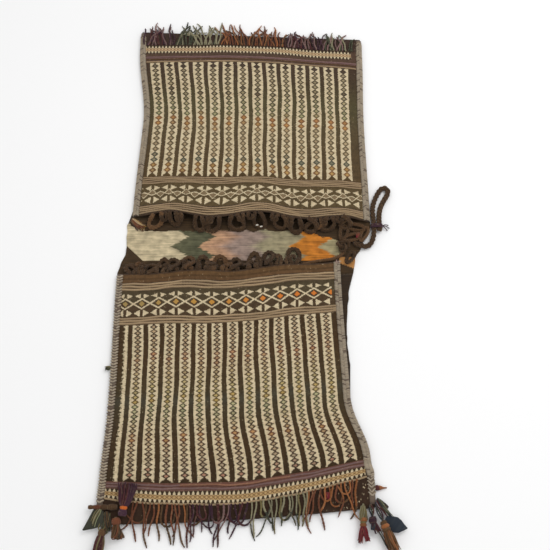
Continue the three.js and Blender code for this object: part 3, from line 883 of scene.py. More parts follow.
class Dye(Enum):
    """The yarn colours, as screen colours."""

    TAN = (162, 138, 106)
    GREY_MAUVE = (158, 145, 126)
    PALE_STITCH = (164, 149, 128)
    DARK_STITCH = (108, 93, 80)
    MAUVE = (122, 94, 90)
    GREY_GREEN = (132, 126, 100)
    ORANGE = (142, 88, 50)
    FLAME = (190, 98, 40)
    PURPLE = (60, 34, 46)
    DARK_GREEN = (62, 64, 48)
    RUST = (110, 64, 42)
    CRIMSON = (112, 30, 40)
    MAROON = (76, 38, 38)
    TEAL = (40, 46, 54)
    SLATE_GREEN = (56, 56, 46)
    BROWN = (90, 64, 40)
    DARK_BROWN = (68, 49, 31)
    OLIVE = (108, 98, 64)
    PALE_GREEN = (116, 118, 88)
    GOLD = (170, 134, 62)
    VIOLET = (66, 41, 54)
    BONE = (226, 222, 210)
    FADED_RUST = (142, 100, 78)

    @property
    def number(self) -> int:
        """Gives the colour's place in the row of yarn colours."""
        return list(Dye).index(self)


@dataclass(frozen=True)
class DyedYarn:
    """Plied yarn in the colour that each strand names, faded in patches."""

    name: str = "dyed_yarn"
    faded: Colour = srgb(166, 146, 112)
    fading: float = 0.4
    depth: float = 0.0005

    def material(self) -> Material:
        """Makes the yarn's material.

        Returns:
            The material.
        """
        loom = Loom(self.name)
        along, shade, dye = loom.measure("yarn")
        count = len(Dye)
        steps = [(number / count, srgb(*colour.value)) for number, colour in enumerate(Dye)]
        pure = loom.ramp((dye + 0.5) / count, steps, "steps")
        patch = loom.noise(loom.place(along * 0.07, shade * 37, dye), 1.0)
        hair = loom.noise(loom.place(along * 0.8, shade * 91, dye), 1.0, 4.0)
        worn = loom.mix(patch.rise(0.5, 0.8) * self.fading, pure, self.faded)
        colour = loom.shaded(worn, shade * 0.5 + hair * 0.5 + 0.52)
        return loom.surface(colour, 0.9, hair, self.depth)


@dataclass(frozen=True)
class KilimCloth:
    """The bridge's slit-woven fields of colour, and the plain brown of the back."""

    name: str = "kilim_cloth"
    row: float = 2.4
    warp: float = 2.6
    weft: float = 2.1
    tooth: float = 52.0
    slant: float = 1.5
    reach: float = 300.0
    tan_span: tuple[float, float] = (232, 276)
    tan_rows: tuple[float, float] = (-44, -29)
    tan_lean: float = -0.42
    worn_row: float = -74.0
    worn_span: tuple[float, float] = (120, 190)
    corner: tuple[float, float] = (-271, -2)
    corner_slope: float = -1.05
    top: float = 58.0
    top_steps: tuple[tuple[float, float, float], ...] = ((-275, -235, 18), (150, 200, 15), (200, 246, 12))
    foot: float = -38.0
    right_end: tuple[float, float] = (248, -8)
    right_bow: float = 26.0
    tan: Colour = srgb(182, 128, 72)
    worn: Colour = srgb(40, 31, 25)
    brown: Stops = stops((0.3, 48, 36, 23), (0.5, 64, 48, 30), (0.7, 84, 62, 38))
    fields: Stops = stops(
        (-300, 192, 176, 142), (-170, 194, 178, 144), (-166, 94, 92, 68), (-105, 84, 84, 62),
        (-101, 182, 142, 108), (-62, 176, 138, 110), (-34, 152, 130, 118), (14, 146, 127, 114),
        (38, 152, 142, 112), (112, 150, 139, 108), (116, 190, 119, 42), (182, 182, 110, 38),
        (186, 158, 146, 110), (300, 154, 142, 106),
    )

    def material(self) -> Material:
        """Makes the cloth's material.

        Returns:
            The material.
        """
        loom = Loom(self.name)
        x, y, _ = loom.measure("weave")
        row = y.knotted(self.row)
        streak = loom.noise(loom.place(x * 0.014, y * 0.3), 1.0, 3.0)
        mottle = loom.noise(loom.place(x * 0.05, y * 0.07), 1.0, 4.0)
        zigzag = abs(((row + 1) / self.tooth + 0.5).fraction() - 0.5) * self.tooth
        fingers = loom.noise(loom.place(x * 0.035, row * 0.9, 4.0), 1.0, 2.0)
        place = x - zigzag * self.slant + (streak - 0.5) * 16 + (fingers - 0.5) * 26
        stops = [((at + self.reach) / (2 * self.reach), colour) for at, colour in self.fields]
        colour = loom.ramp((place + self.reach) / (2 * self.reach), stops)
        colour = loom.shaded(colour, streak * 1.4 + mottle * 1.5 - 0.45)
        low, high = self.tan_rows
        leaning = (x - self.tan_span[0]) * self.tan_lean + low
        tan = x.between(*self.tan_span) * (row < high) * (row > leaning)
        colour = loom.mix(tan, colour, self.tan)
        brown = loom.ramp(streak * 0.6 + mottle * 0.4, self.brown)
        worn_edge = (row < self.worn_row) * x.rise(*self.worn_span) * 0.6
        brown = loom.mix(worn_edge, brown, self.worn)
        colour = loom.mix(self._plain(loom, x, row, streak - 0.5) * (1 - tan), colour, brown)
        height = loom.rib(x, y, self.warp, self.weft) + mottle * 0.5 + 0.3
        return loom.surface(colour, 0.92, height, 0.0006)

    def _plain(self, loom: Loom, x: Wire, row: Wire, stray: Wire) -> Wire:
        """Marks the plain brown around the fields of colour.

        Args:
            loom: Adds the nodes.
            x: The place across the bag.
            row: The place along it.
            stray: Small noise about 0.

        Returns:
            1 on the plain brown, and 0 elsewhere.
        """
        corner = (x - self.corner[0]) < (row - self.corner[1]) * self.corner_slope
        sag = loom.noise(loom.place(x * 0.028, 3.0), 1.0, 2.0) - 0.5
        steps = sum(x.rise(low, high) * step for low, high, step in self.top_steps)
        above = row > self.top - steps + sag * 26 + stray * 12
        below = row < stray * 10 + self.foot
        aside = row - self.right_end[1]
        beyond = x > self.right_end[0] - aside * aside / self.right_bow
        return corner.most(above).most(below).most(beyond)


@dataclass(frozen=True)
class Weave:
    """What a face's pattern is woven with.

    Its places on the face are u across the stripes, from 0 to 1, x from the left edge and row from the mouth.
    """

    loom: Loom
    cream: Wire
    fray: Wire
    u: Wire
    x: Wire
    row: Wire


@dataclass(frozen=True)
class FaceCloth:
    """A pouch's face: brown flat weave, cream stripes filled with lozenges, and brocaded end bands."""

    name: str = "face_cloth"
    pouch: int = 1
    stripes: tuple[float, float] = (109, 462)
    lozenge: float = 15.4
    lozenge_half: float = 8.0
    lozenge_start: float = 0.21
    lozenge_drift: float = 0.28
    outline: float = 1.16
    heart: float = 0.58
    notch_at_mouth: bool = True
    ground: Stops = ()
    gaps: Stops = ()
    outlines: Stops = ()
    hearts: Stops = ()
    pairs: float = 12.3
    pairs_start: float = 0.43
    band: tuple[float, float] = (27, 87)
    band_span: tuple[float, float] = (-0.005, 1.03)
    triangle_rows: tuple[tuple[float, float], ...] = ((75, 7.4), (41.5, 9.6))
    triangle_gap: float = 0.05
    triangle_run: float = 0.36
    checker: float = 507.5
    checker_half: float = 13.0
    checker_heart: float = 4.6
    checker_line: float = 0.24
    checker_span: tuple[float, float] = (9.0, 556.0)
    checker_tooth: float = 9.0
    checker_gold: Colour = srgb(190, 157, 116)
    checker_cross: Colour = srgb(118, 86, 54)
    tooth_from: float = 0.23
    tooth_foot: float = 8.4
    tooth_slope: float = 0.06
    notch: float = 12.0
    notch_half: float = 10.0
    whole_from: float = 0.0
    first_from: float = 0.0
    first_tooth: float = 0.0
    fleck: tuple[float, float] = (1.2, 1.5)
    flecked_end: bool = False
    worn_end: float = 526.0
    worn_span: tuple[float, float] = (440, 540)
    knot: float = 1.4
    warp: float = 1.9
    weft: float = 1.7
    cream: Stops = stops(
        (0.3, 180, 158, 126), (0.45, 200, 182, 147), (0.58, 206, 189, 155), (0.72, 190, 175, 137),
    )
    dark: Colour = srgb(62, 47, 33)

    def material(self) -> Material:
        """Makes the face's material.

        Returns:
            The material.
        """
        loom = Loom(self.name)
        u, m, x = loom.measure("weave")
        fray = loom.noise(loom.place(x * 0.3, m * 0.3), 1.0, 2.0) - 0.5
        mottle = loom.noise(loom.place(x * 0.12, m * 0.12), 1.0, 4.0)
        streak = loom.noise(loom.place(x * 0.006, m * 0.07), 1.0, 2.0)
        grain = loom.noise(loom.place(x * 0.5, m * 0.7), 1.0, 2.0)
        row = (m + fray * 1.5).knotted(self.knot)
        knots = u.knotted(self.knot / (FORM.stripe_pitch(self.pouch) * FORM.stripe_count))
        cream = loom.ramp(streak * 0.6 + mottle * 0.4, self.cream)
        cream = loom.shaded(cream, mottle * 0.6 + grain * 0.3 + 0.56)
        ground = loom.ramp(row / FORM.depth, self._along(self.ground), "steps")
        gaps = loom.ramp(m / FORM.depth + fray * 0.05, self._along(self.gaps))
        colour = loom.mix(row.between(*self.stripes), ground, gaps)
        colour = loom.shaded(colour, mottle * 1.1 + streak * 0.4 + grain * 0.5 + 0.02)
        colour = loom.mix(self._flecks(loom, m, x, mottle), colour, cream)
        weave = Weave(loom, cream, fray, knots, x, row)
        colour = self._striped(weave, colour)
        frayed = replace(weave, u=knots + fray * 0.008, row=row + fray * 2.4)
        colour = self._checkered(weave, self._banded(frayed, colour))
        height = loom.rib(x, m, self.warp, self.weft) + mottle * 0.5 + 0.3
        return loom.surface(colour, 0.92, height, 0.0005)

    @staticmethod
    def _along(stops: Stops) -> Stops:
        """Turns distances from the mouth into shares of the face."""
        return [(distance / FORM.depth, colour) for distance, colour in stops]

    def _flecks(self, loom: Loom, m: Wire, x: Wire, mottle: Wire) -> Wire:
        """Scatters pale flecks of lint.

        Args:
            loom: Adds the nodes.
            m: The distance from the mouth.
            x: The distance from the left edge.
            mottle: Soft noise from 0 to 1.

        Returns:
            The share of cream at each place.
        """
        width, length = self.fleck
        column = ((x + m * 0.4) / width).floor()
        draw = loom.speckle(loom.place(column, ((m - x * 0.3) / length).floor(), 7.0))
        flecks = (draw > 0.988) * mottle.rise(0.5, 0.65) * 0.6
        if self.flecked_end:
            worn = (m > self.worn_end) * x.rise(*self.worn_span)
            flecks = flecks.most((draw > 0.95) * worn * mottle.rise(0.4, 0.55) * 0.75)
        return flecks

    def _striped(self, weave: Weave, colour: Wire) -> Wire:
        """Weaves the cream stripes and their lozenges over a colour.

        Args:
            weave: What they are woven with.
            colour: The colour so far.

        Returns:
            The colour with its stripes.
        """
        loom, row, fray = weave.loom, weave.row, weave.fray
        column = weave.u * FORM.stripe_count
        whole = column > self.whole_from
        aside = abs(column.fraction() - 0.5) * FORM.stripe_pitch(self.pouch)
        own = loom.speckle(loom.place(column.floor(), 3.0))
        offset = own * self.lozenge_drift + self.lozenge_start
        phase = row / self.lozenge + offset
        each = loom.speckle(loom.place(column.floor(), phase.floor(), 5.0))
        metric = aside / self.lozenge_half + abs(phase.fraction() - 0.5) * 2 + fray * 0.12
        metric = metric + (1 - whole) * 9
        strayed = (own - 0.5) * 10 + (each - 0.5) * 14
        middle = ((phase.floor() + 0.5 - offset) * self.lozenge + strayed) / FORM.depth
        outline = loom.shaded(loom.ramp(middle, self._along(self.outlines)), each * 0.3 + 0.82)
        heart = loom.shaded(loom.ramp(middle, self._along(self.hearts)), each * 0.35 + 0.78)
        figured = loom.mix(metric < self.outline, weave.cream, outline)
        figured = loom.mix(metric < self.heart, figured, heart)
        start, end = self.stripes
        into = row - start if self.notch_at_mouth else end - row
        notch = ((aside / self.notch_half + into / self.notch) < 1.0) * whole
        tooth = (1 - abs(phase.fraction() - 0.5) * 2) * self.first_tooth
        edge = fray * 4.5 + FORM.stripe_half(self.pouch)
        within = (column > fray * 0.5 + tooth + self.first_from) * (weave.u < 1.0)
        inside = (aside < edge) * row.between(start, end) * within
        return loom.mix(inside * (1 - notch), colour, figured)

    def _banded(self, weave: Weave, colour: Wire) -> Wire:
        """Leaves the colour as it is where a face has no brocaded mouth band."""
        return colour

    def _triangles(self, place: Wire, row: Wire) -> Wire:
        """Marks rows of triangles, which point at each other in pairs.

        Args:
            place: The place along the rows, in pairs.
            row: The distance from the mouth.

        Returns:
            1 on the triangles, and 0 elsewhere.
        """
        aside = abs(place.fraction() - 0.5)
        along = aside.between(self.triangle_gap, self.triangle_gap + self.triangle_run)
        share = (aside - self.triangle_gap) / self.triangle_run
        near, far = (abs(row - middle) < share * half for middle, half in self.triangle_rows)
        return along * near.most(far)

    def _checkered(self, weave: Weave, colour: Wire) -> Wire:
        """Weaves the checkered end band over a colour: a crossed gold middle between two rows of teeth.

        Args:
            weave: What it is woven with.
            colour: The colour so far.

        Returns:
            The colour with the band.
        """
        loom, cream = weave.loom, weave.cream
        aside = abs((weave.x / self.checker_tooth).fraction() - 0.5)
        far = abs(weave.row - self.checker)
        gold = loom.mix(0.3, self.checker_gold, cream)
        crossed = abs(aside * 2 - far / self.checker_heart) < self.checker_line
        band = loom.mix(crossed, gold, self.checker_cross)
        tooth = aside > (far - self.tooth_foot).most(0.0) * self.tooth_slope + self.tooth_from
        band = loom.mix(far > self.checker_heart, band, loom.mix(tooth, self.dark, cream))
        inside = (far < self.checker_half) * weave.x.between(*self.checker_span)
        return loom.mix(inside, colour, band)


@dataclass(frozen=True)
class UpperFaceCloth(FaceCloth):
    """The upper face, whose mouth band has two rows of triangles beside a lattice."""

    name: str = "upper_face_cloth"
    lattice_row: float = 59.5
    lattice_half: float = 7.8
    lattice_line: float = 1.3
    lattice_sway: float = 3.4
    lattice_fill: Colour = srgb(124, 104, 76)
    ground: Stops = stops(
        (0, 66, 50, 36), (27, 84, 68, 42), (87, 82, 64, 46), (107, 84, 64, 42), (462, 88, 66, 52),
        (476, 108, 80, 74), (483, 78, 57, 43), (521, 62, 45, 36),
    )
    gaps: Stops = stops(
        (109, 80, 62, 36), (190, 80, 64, 40), (260, 80, 67, 43), (330, 75, 67, 41), (400, 66, 52, 32),
        (462, 64, 46, 32),
    )
    outlines: Stops = stops(
        (109, 104, 78, 52), (124, 122, 84, 52), (140, 120, 88, 52), (152, 78, 78, 64), (164, 76, 72, 58),
        (176, 96, 80, 56), (250, 98, 84, 60), (264, 124, 86, 52), (282, 122, 82, 50), (296, 88, 84, 58),
        (350, 74, 64, 46), (362, 60, 48, 36), (374, 78, 66, 46), (436, 70, 56, 40), (446, 58, 44, 34),
        (462, 54, 40, 32),
    )
    hearts: Stops = stops(
        (109, 168, 144, 104), (126, 176, 140, 84), (140, 172, 134, 80), (154, 110, 108, 88),
        (172, 164, 142, 108), (250, 166, 146, 112), (264, 176, 132, 76), (282, 166, 118, 72),
        (296, 154, 146, 106), (352, 160, 144, 108), (362, 86, 70, 50), (372, 156, 140, 106),
        (436, 150, 134, 104), (446, 74, 58, 42), (462, 70, 54, 40),
    )

    def _banded(self, weave: Weave, colour: Wire) -> Wire:
        """Weaves the mouth band over a colour.

        Args:
            weave: What it is woven with.
            colour: The colour so far.

        Returns:
            The colour with the band.
        """
        place = weave.u * self.pairs + self.pairs_start
        turn = abs(place.fraction() - 0.5) * 4 - 1
        far = abs(weave.row - self.lattice_row - turn * self.lattice_sway)
        reach = abs(turn) * self.lattice_half
        lattice = abs(far - reach) < self.lattice_line
        inside = weave.u.between(*self.band_span) * weave.row.between(*self.band)
        filled = (far < reach - 2 * self.lattice_line) * inside
        colour = weave.loom.mix(filled, colour, self.lattice_fill)
        figures = self._triangles(place, weave.row).most(lattice)
        return weave.loom.mix(figures * inside, colour, weave.cream)


@dataclass(frozen=True)
class LowerFaceCloth(FaceCloth):
    """The lower face, whose mouth band has a chain of diamonds between two rows of triangles."""

    name: str = "lower_face_cloth"
    pouch: int = -1
    stripes: tuple[float, float] = (129, 480)
    lozenge: float = 10.6
    notch_at_mouth: bool = False
    pairs: float = 12.54
    pairs_start: float = 0.51
    band: tuple[float, float] = (44, 110)
    band_span: tuple[float, float] = (0.02, 1.0)
    triangle_rows: tuple[tuple[float, float], ...] = ((58, 5.8), (100, 8.6))
    chain_row: float = 77.0
    chain_half: float = 14.0
    chain_rise: float = 12.4
    chain_line: float = 0.16
    gem_half: float = 6.6
    gem_narrowing: float = 2.9
    rim_half: float = 9.2
    rim_narrowing: float = 2.0
    gem_rim: Colour = srgb(72, 50, 35)
    gems: Stops = stops((0.1, 158, 134, 80), (0.4, 186, 138, 62), (0.75, 202, 116, 46))
    checker: float = 510.0
    checker_tooth: float = 9.6
    checker_gold: Colour = srgb(174, 135, 74)
    tooth_from: float = 0.22
    lozenge_start: float = 0.43
    notch: float = 8.6
    notch_half: float = 12.4
    whole_from: float = 1.0
    first_from: float = 0.575
    first_tooth: float = 0.1
    flecked_end: bool = True
    # The ground's darker rows at 0 to 4 mm and 22 to 26 mm from the mouth are painted shade at the edges of
    # the rim band.
    ground: Stops = stops(
        (0, 72, 53, 36), (4, 94, 68, 40), (12, 80, 57, 32), (17, 94, 68, 42), (22, 72, 54, 38),
        (26, 94, 75, 58), (44, 74, 62, 42), (78, 72, 55, 36), (110, 92, 73, 56), (128, 74, 56, 36),
        (480, 104, 70, 58), (489, 104, 74, 64), (497, 58, 42, 28), (523, 54, 37, 25),
    )
    gaps: Stops = stops(
        (129, 62, 45, 24), (210, 66, 47, 25), (285, 66, 53, 32), (305, 66, 60, 46), (325, 64, 53, 34),
        (400, 64, 46, 25), (480, 56, 41, 22),
    )
    outlines: Stops = stops(
        (129, 62, 46, 33), (198, 70, 50, 37), (208, 98, 56, 42), (218, 80, 55, 41), (292, 80, 69, 45),
        (306, 102, 79, 44), (318, 78, 73, 52), (376, 70, 52, 37), (388, 98, 58, 43), (398, 74, 53, 39),
        (470, 62, 46, 34), (480, 68, 48, 38),
    )
    hearts: Stops = stops(
        (129, 176, 152, 118), (198, 176, 150, 114), (210, 170, 126, 86), (222, 178, 154, 116),
        (290, 176, 158, 108), (304, 178, 148, 84), (320, 168, 163, 122), (374, 176, 152, 114),
        (388, 172, 130, 82), (402, 178, 152, 116), (452, 154, 136, 110), (468, 164, 118, 94),
        (480, 146, 120, 98),
    )

    def _banded(self, weave: Weave, colour: Wire) -> Wire:
        """Weaves the mouth band over a colour.

        Args:
            weave: What it is woven with.
            colour: The colour so far.

        Returns:
            The colour with the band.
        """
        loom = weave.loom
        far = abs(weave.row - self.chain_row)
        place = weave.u * self.pairs + self.pairs_start
        wave = abs(place.fraction() - 0.5) * 2
        chain = (abs(far / self.chain_rise - wave) < self.chain_line) * (far < self.chain_half)
        gem = ((1 - wave) * self.gem_narrowing + far / self.gem_half) < 1.0
        rim = ((1 - wave) * self.rim_narrowing + far / self.rim_half) < 1.0
        inside = weave.u.between(*self.band_span) * weave.row.between(*self.band)
        colour = loom.mix(rim * inside, colour, self.gem_rim)
        colour = loom.mix(gem * inside, colour, loom.ramp(weave.u, self.gems))
        figures = chain.most(self._triangles(place, weave.row))
        return loom.mix(figures * inside, colour, weave.cream)


@dataclass(frozen=True)
class Finishes:
    """The materials that the pieces share."""

    yarn: Material
    goat_hair: Material
    felt: Material
    kilim: Material
    upper_face: Material
    lower_face: Material

    @classmethod
    def dyed(cls) -> "Finishes":
        """Makes them all.

        Returns:
            The materials.
        """
        hair = DyedYarn("goat_hair", srgb(110, 86, 58), 0.55, 0.0008)
        felt = DyedYarn("felt", srgb(84, 84, 78), 0.2, 0.0004)
        return cls(
            DyedYarn().material(), hair.material(), felt.material(), KilimCloth().material(),
            UpperFaceCloth().material(), LowerFaceCloth().material(),
        )


# Sub-assemblies

@dataclass
class Studio:
    """The camera at the photograph's angle, the pale floor and the soft light."""

    eye: tuple[float, float, float] = (0.080, -0.817, 1.702)
    tilt: float = 23.6
    lens: float = 51.64
    sensor: float = 36.0
    floor_size: float = 8.0
    floor_drop: float = 0.0004
    floor_white: Colour = (0.95, 0.95, 0.95, 1)
    sky: float = 0.8
    lamp_place: tuple[float, float, float] = (1.1, 0.5, 2.4)
    lamp_size: float = 1.5
    lamp_power: float = 21.0

    def build(self) -> None:
        """Sets the studio up."""
        self._camera()
        self._floor()
        self._light()

    def _camera(self) -> None:
        """Puts the camera in place."""
        camera = bpy.data.cameras.new("camera")
        camera.lens = self.lens
        camera.sensor_width = self.sensor
        made = placed("camera", camera)
        made.location = self.eye
        made.rotation_euler = (math.radians(self.tilt), 0, 0)
        bpy.context.scene.camera = made

    def _floor(self) -> None:
        """Lays the floor."""
        half = self.floor_size / 2
        plan = ((-half, -half), (half, -half), (half, half), (-half, half))
        mesh = bpy.data.meshes.new("floor")
        mesh.from_pydata([(x, y, -self.floor_drop) for x, y in plan], [], [(0, 1, 2, 3)])
        loom = Loom("pale_floor")
        shader = loom.node("ShaderNodeBsdfPrincipled", None, {
            "Base Color": self.floor_white, "Roughness": 0.9, "Specular IOR Level": 0.1,
        })
        loom.node("ShaderNodeOutputMaterial", None, {"Surface": shader}, None)
        mesh.materials.append(loom.material)
        placed("floor", mesh)

    def _light(self) -> None:
        """Lights the scene from an even white sky and one large lamp on the right."""
        world = bpy.data.worlds.new("sky")
        world.use_nodes = True
        background = world.node_tree.nodes["Background"]
        background.inputs["Color"].default_value = (1, 1, 1, 1)
        background.inputs["Strength"].default_value = self.sky
        bpy.context.scene.world = world
        lamp = bpy.data.lights.new("lamp", "AREA")
        lamp.size = self.lamp_size
        lamp.energy = self.lamp_power
        made = placed("lamp", lamp)
        made.location = self.lamp_place
        made.rotation_euler = (-made.location).to_track_quat("-Z", "Y").to_euler()
        bpy.context.scene.view_settings.view_transform = "Standard"


@dataclass
class LeadRope:
    """The plaited rope at the right of the bridge, doubled into an eye, and the thread that holds the eye."""

    finishes: Finishes
    radius: float = 6.0
    ply: Ply = Ply(Lay.PLAIT, 3, 30.0, 8)
    spacing: float = 1.6
    seizing_middle: tuple[float, float, float] = (324.5, 51, 8.7)
    seizing_half: float = 6.6
    seizing_reach: float = 5.0
    seizing_turns: int = 7
    thread: float = 1.0
    end_ply: Ply = Ply(Lay.TWIST, 2, 6.0, 5)
    end_radius: float = 1.3
    ends: tuple[tuple[float, float], ...] = ((17, 6), (14, -9), (19, -2))
    route: tuple[tuple[float, float, float], ...] = (
        (268, 5, 10.7), (284, -1, 10.5), (299, -2, 7.6), (310, 8, 6.8), (316, 25, 7.8), (317.9, 41, 8.8),
        (317.9, 62, 8.7), (317.4, 75, 7.2), (317, 91, 6.4), (319, 109, 6.4), (325, 127, 6.4), (333, 143, 6.4),
        (341, 154, 6.4), (350, 157, 6.4), (357, 150, 6.4), (355, 138, 6.4), (346, 122, 6.4), (338, 106, 6.4),
        (333.5, 90, 6.5), (331.5, 74, 7.4), (331.1, 60, 8.7), (331.1, 39, 8.7),
    )

    def build(self) -> None:
        path = smooth_path(self.route, self.spacing)
        skein = Skein()
        skein.add_strands(path, self.radius, self.ply, 0.4, Dye.DARK_BROWN)
        rope = skein.piece("lead_rope_plait", self.finishes.goat_hair, "goat_hair", "lead_rope")
        tuple(MM * value for value in self.route[0])
        2 * self.radius * MM
        self._seizing()

    def _seizing(self) -> Piece:
        """Winds the thread round both parts of the rope.

        Returns:
            The seizing.
        """
        middle = np.array(self.seizing_middle)
        around = self.radius + self.thread
        turns = np.linspace(0, TURN * self.seizing_turns, 24 * self.seizing_turns)
        wound = np.stack([
            (self.seizing_half + around) * squared(np.cos(turns), 0.7),
            lerp(-self.seizing_reach, self.seizing_reach, turns / turns[-1]) + 0.8 * np.sin(turns * 1.7),
            around * squared(np.sin(turns), 0.7),
        ], axis=1) + middle
        skein = Skein()
        skein.add_tube(wound, self.thread, 6, 0.5, Dye.PURPLE)
        start = middle + np.array([self.seizing_half + around - 1, 0.0, 2.0])
        for number, (dx, dy) in enumerate(self.ends):
            end = np.array([start[0] + dx, start[1] + dy, self.end_radius + 0.1])
            loose = smooth_path([start, lerp(start, end, 0.5) + np.array([0, 1.5, 1.5]), end], 1.2)
            skein.add_strands(loose, self.end_radius, self.end_ply, scatter(number + 4), Dye.PURPLE)
        return skein.piece("rope_seizing_thread", self.finishes.yarn, "purple_yarn", "rope_seizing")


def rounded(distance: Array, radius: float) -> Array:
    """Gives the share of the full half-thickness at a distance from a rounded edge."""
    inside = np.clip(1 - distance / radius, 0, 1)
    return np.maximum(np.sqrt(1 - inside**2), 0.03)


def sheet_faces(rows: int, columns: int, first: int) -> list[list[int]]:
    """Numbers the quads of a grid of points, row by row.

    Args:
        rows: The number of rows.
        columns: The number of columns.
        first: The number of the grid's first point.

    Returns:
        The quads.
    """
    corners = (0, 1, columns + 1, columns)
    starts = (first + r * columns + c for r in range(rows - 1) for c in range(columns - 1))
    return [[start + corner for corner in corners] for start in starts]


def slab(outer: Array, inner: Array, step: int) -> tuple[Array, list[list[int]]]:
    """Closes two facing grids of points into one sheet.

    Args:
        outer: The finer grid, as rows of points.
        inner: The other side, with one row for each step of the finer grid's rows.
        step: How many rows of the finer grid go to one row of the other.

    Returns:
        The points and the faces.
    """
    rows, columns = outer.shape[:2]
    back = inner.shape[0]
    first = rows * columns
    faces = sheet_faces(rows, columns, 0) + sheet_faces(back, columns, first)
    for column in (0, columns - 1):
        for r in range(back - 1):
            near = [(r * step + i) * columns + column for i in range(step + 1)]
            faces.append([*near, first + (r + 1) * columns + column, first + r * columns + column])
    for near, far in ((0, first), ((rows - 1) * columns, first + (back - 1) * columns)):
        faces += [[near + c, near + c + 1, far + c + 1, far + c] for c in range(columns - 1)]
    return np.vstack([outer.reshape(-1, 3), inner.reshape(-1, 3)]), faces


@dataclass
class BackCloth:
    """The cloth under both pouches and the bridge between them, in three lengths that meet by the mouths."""

    finishes: Finishes
    columns: int = 120
    step: int = 8
    edge: float = 2.0
    edge_bend: int = 8
    worn_reach: float = 25.0
    swell_reach: float = 20.0
    lengths: tuple[tuple[str, float, float, int], ...] = (
        ("bridge_cloth", -1.05, 1.05, 64), ("upper_back", 1.05, 2.0, 96), ("lower_back", -2.0, -1.05, 96),
    )

    def build(self) -> list[Piece]:
        """Makes the three lengths.

        Returns:
            The pieces.
        """
        made = []
        for name, start, end, rows in self.lengths:
            piece = self._length(name, start, end, rows)
            size = float(abs(FORM.centre_y(end) - FORM.centre_y(start)))
            FORM.width * MM
            made.append(piece)
        return made

    def _length(self, name: str, start: float, end: float, rows: int) -> Piece:
        """Weaves one length of the cloth.

        Args:
            name: The piece's name.
            start: Where it starts along the bag.
            end: Where it ends.
            rows: Its number of rows, less one.

        Returns:
            The piece.
        """
        across = np.sin(np.linspace(-1, 1, self.columns + 1) * math.pi / 2)[None, :]
        at = np.linspace(start, end, rows + 1)[:, None]
        x, y = np.broadcast_arrays(*FORM.back_point(at, across))
        x = x + FORM.back_drawn_in(at) * ((1 - across) / 2) ** self.edge_bend
        x = x + FORM.back_let_out(at) * ((1 + across) / 2) ** self.edge_bend
        beside = (1 - np.abs(across)) * FORM.width / 2
        worn = 0.8 * np.sin(y / 5.1 + 3 * np.sign(across)) + 0.6 * np.sin(y / 13)
        x = x + np.sign(across) * worn * smoothstep(-beside, -self.worn_reach, 0)
        half = FORM.thickness / 2 * rounded(beside, self.edge) * np.ones_like(x)
        free = smoothstep(-np.abs(at), -1, -0.8)
        swell = free * (0.7 + 0.7 * np.sin(x / 37 + y / 30) * np.sin(y / 19 + x / 120))
        middle = FORM.thickness / 2
        top = np.stack([x, y, middle + half + swell * smoothstep(beside, 0, self.swell_reach)], axis=-1)
        under = np.stack([x, y, middle - half], axis=-1)
        points, faces = slab(top, under[::self.step], self.step)
        skein = Skein()
        skein.add(points, faces, points * np.array([1, 1, 0]))
        return skein.piece(name, self.finishes.kilim, "cloth", "back_panel", "weave")


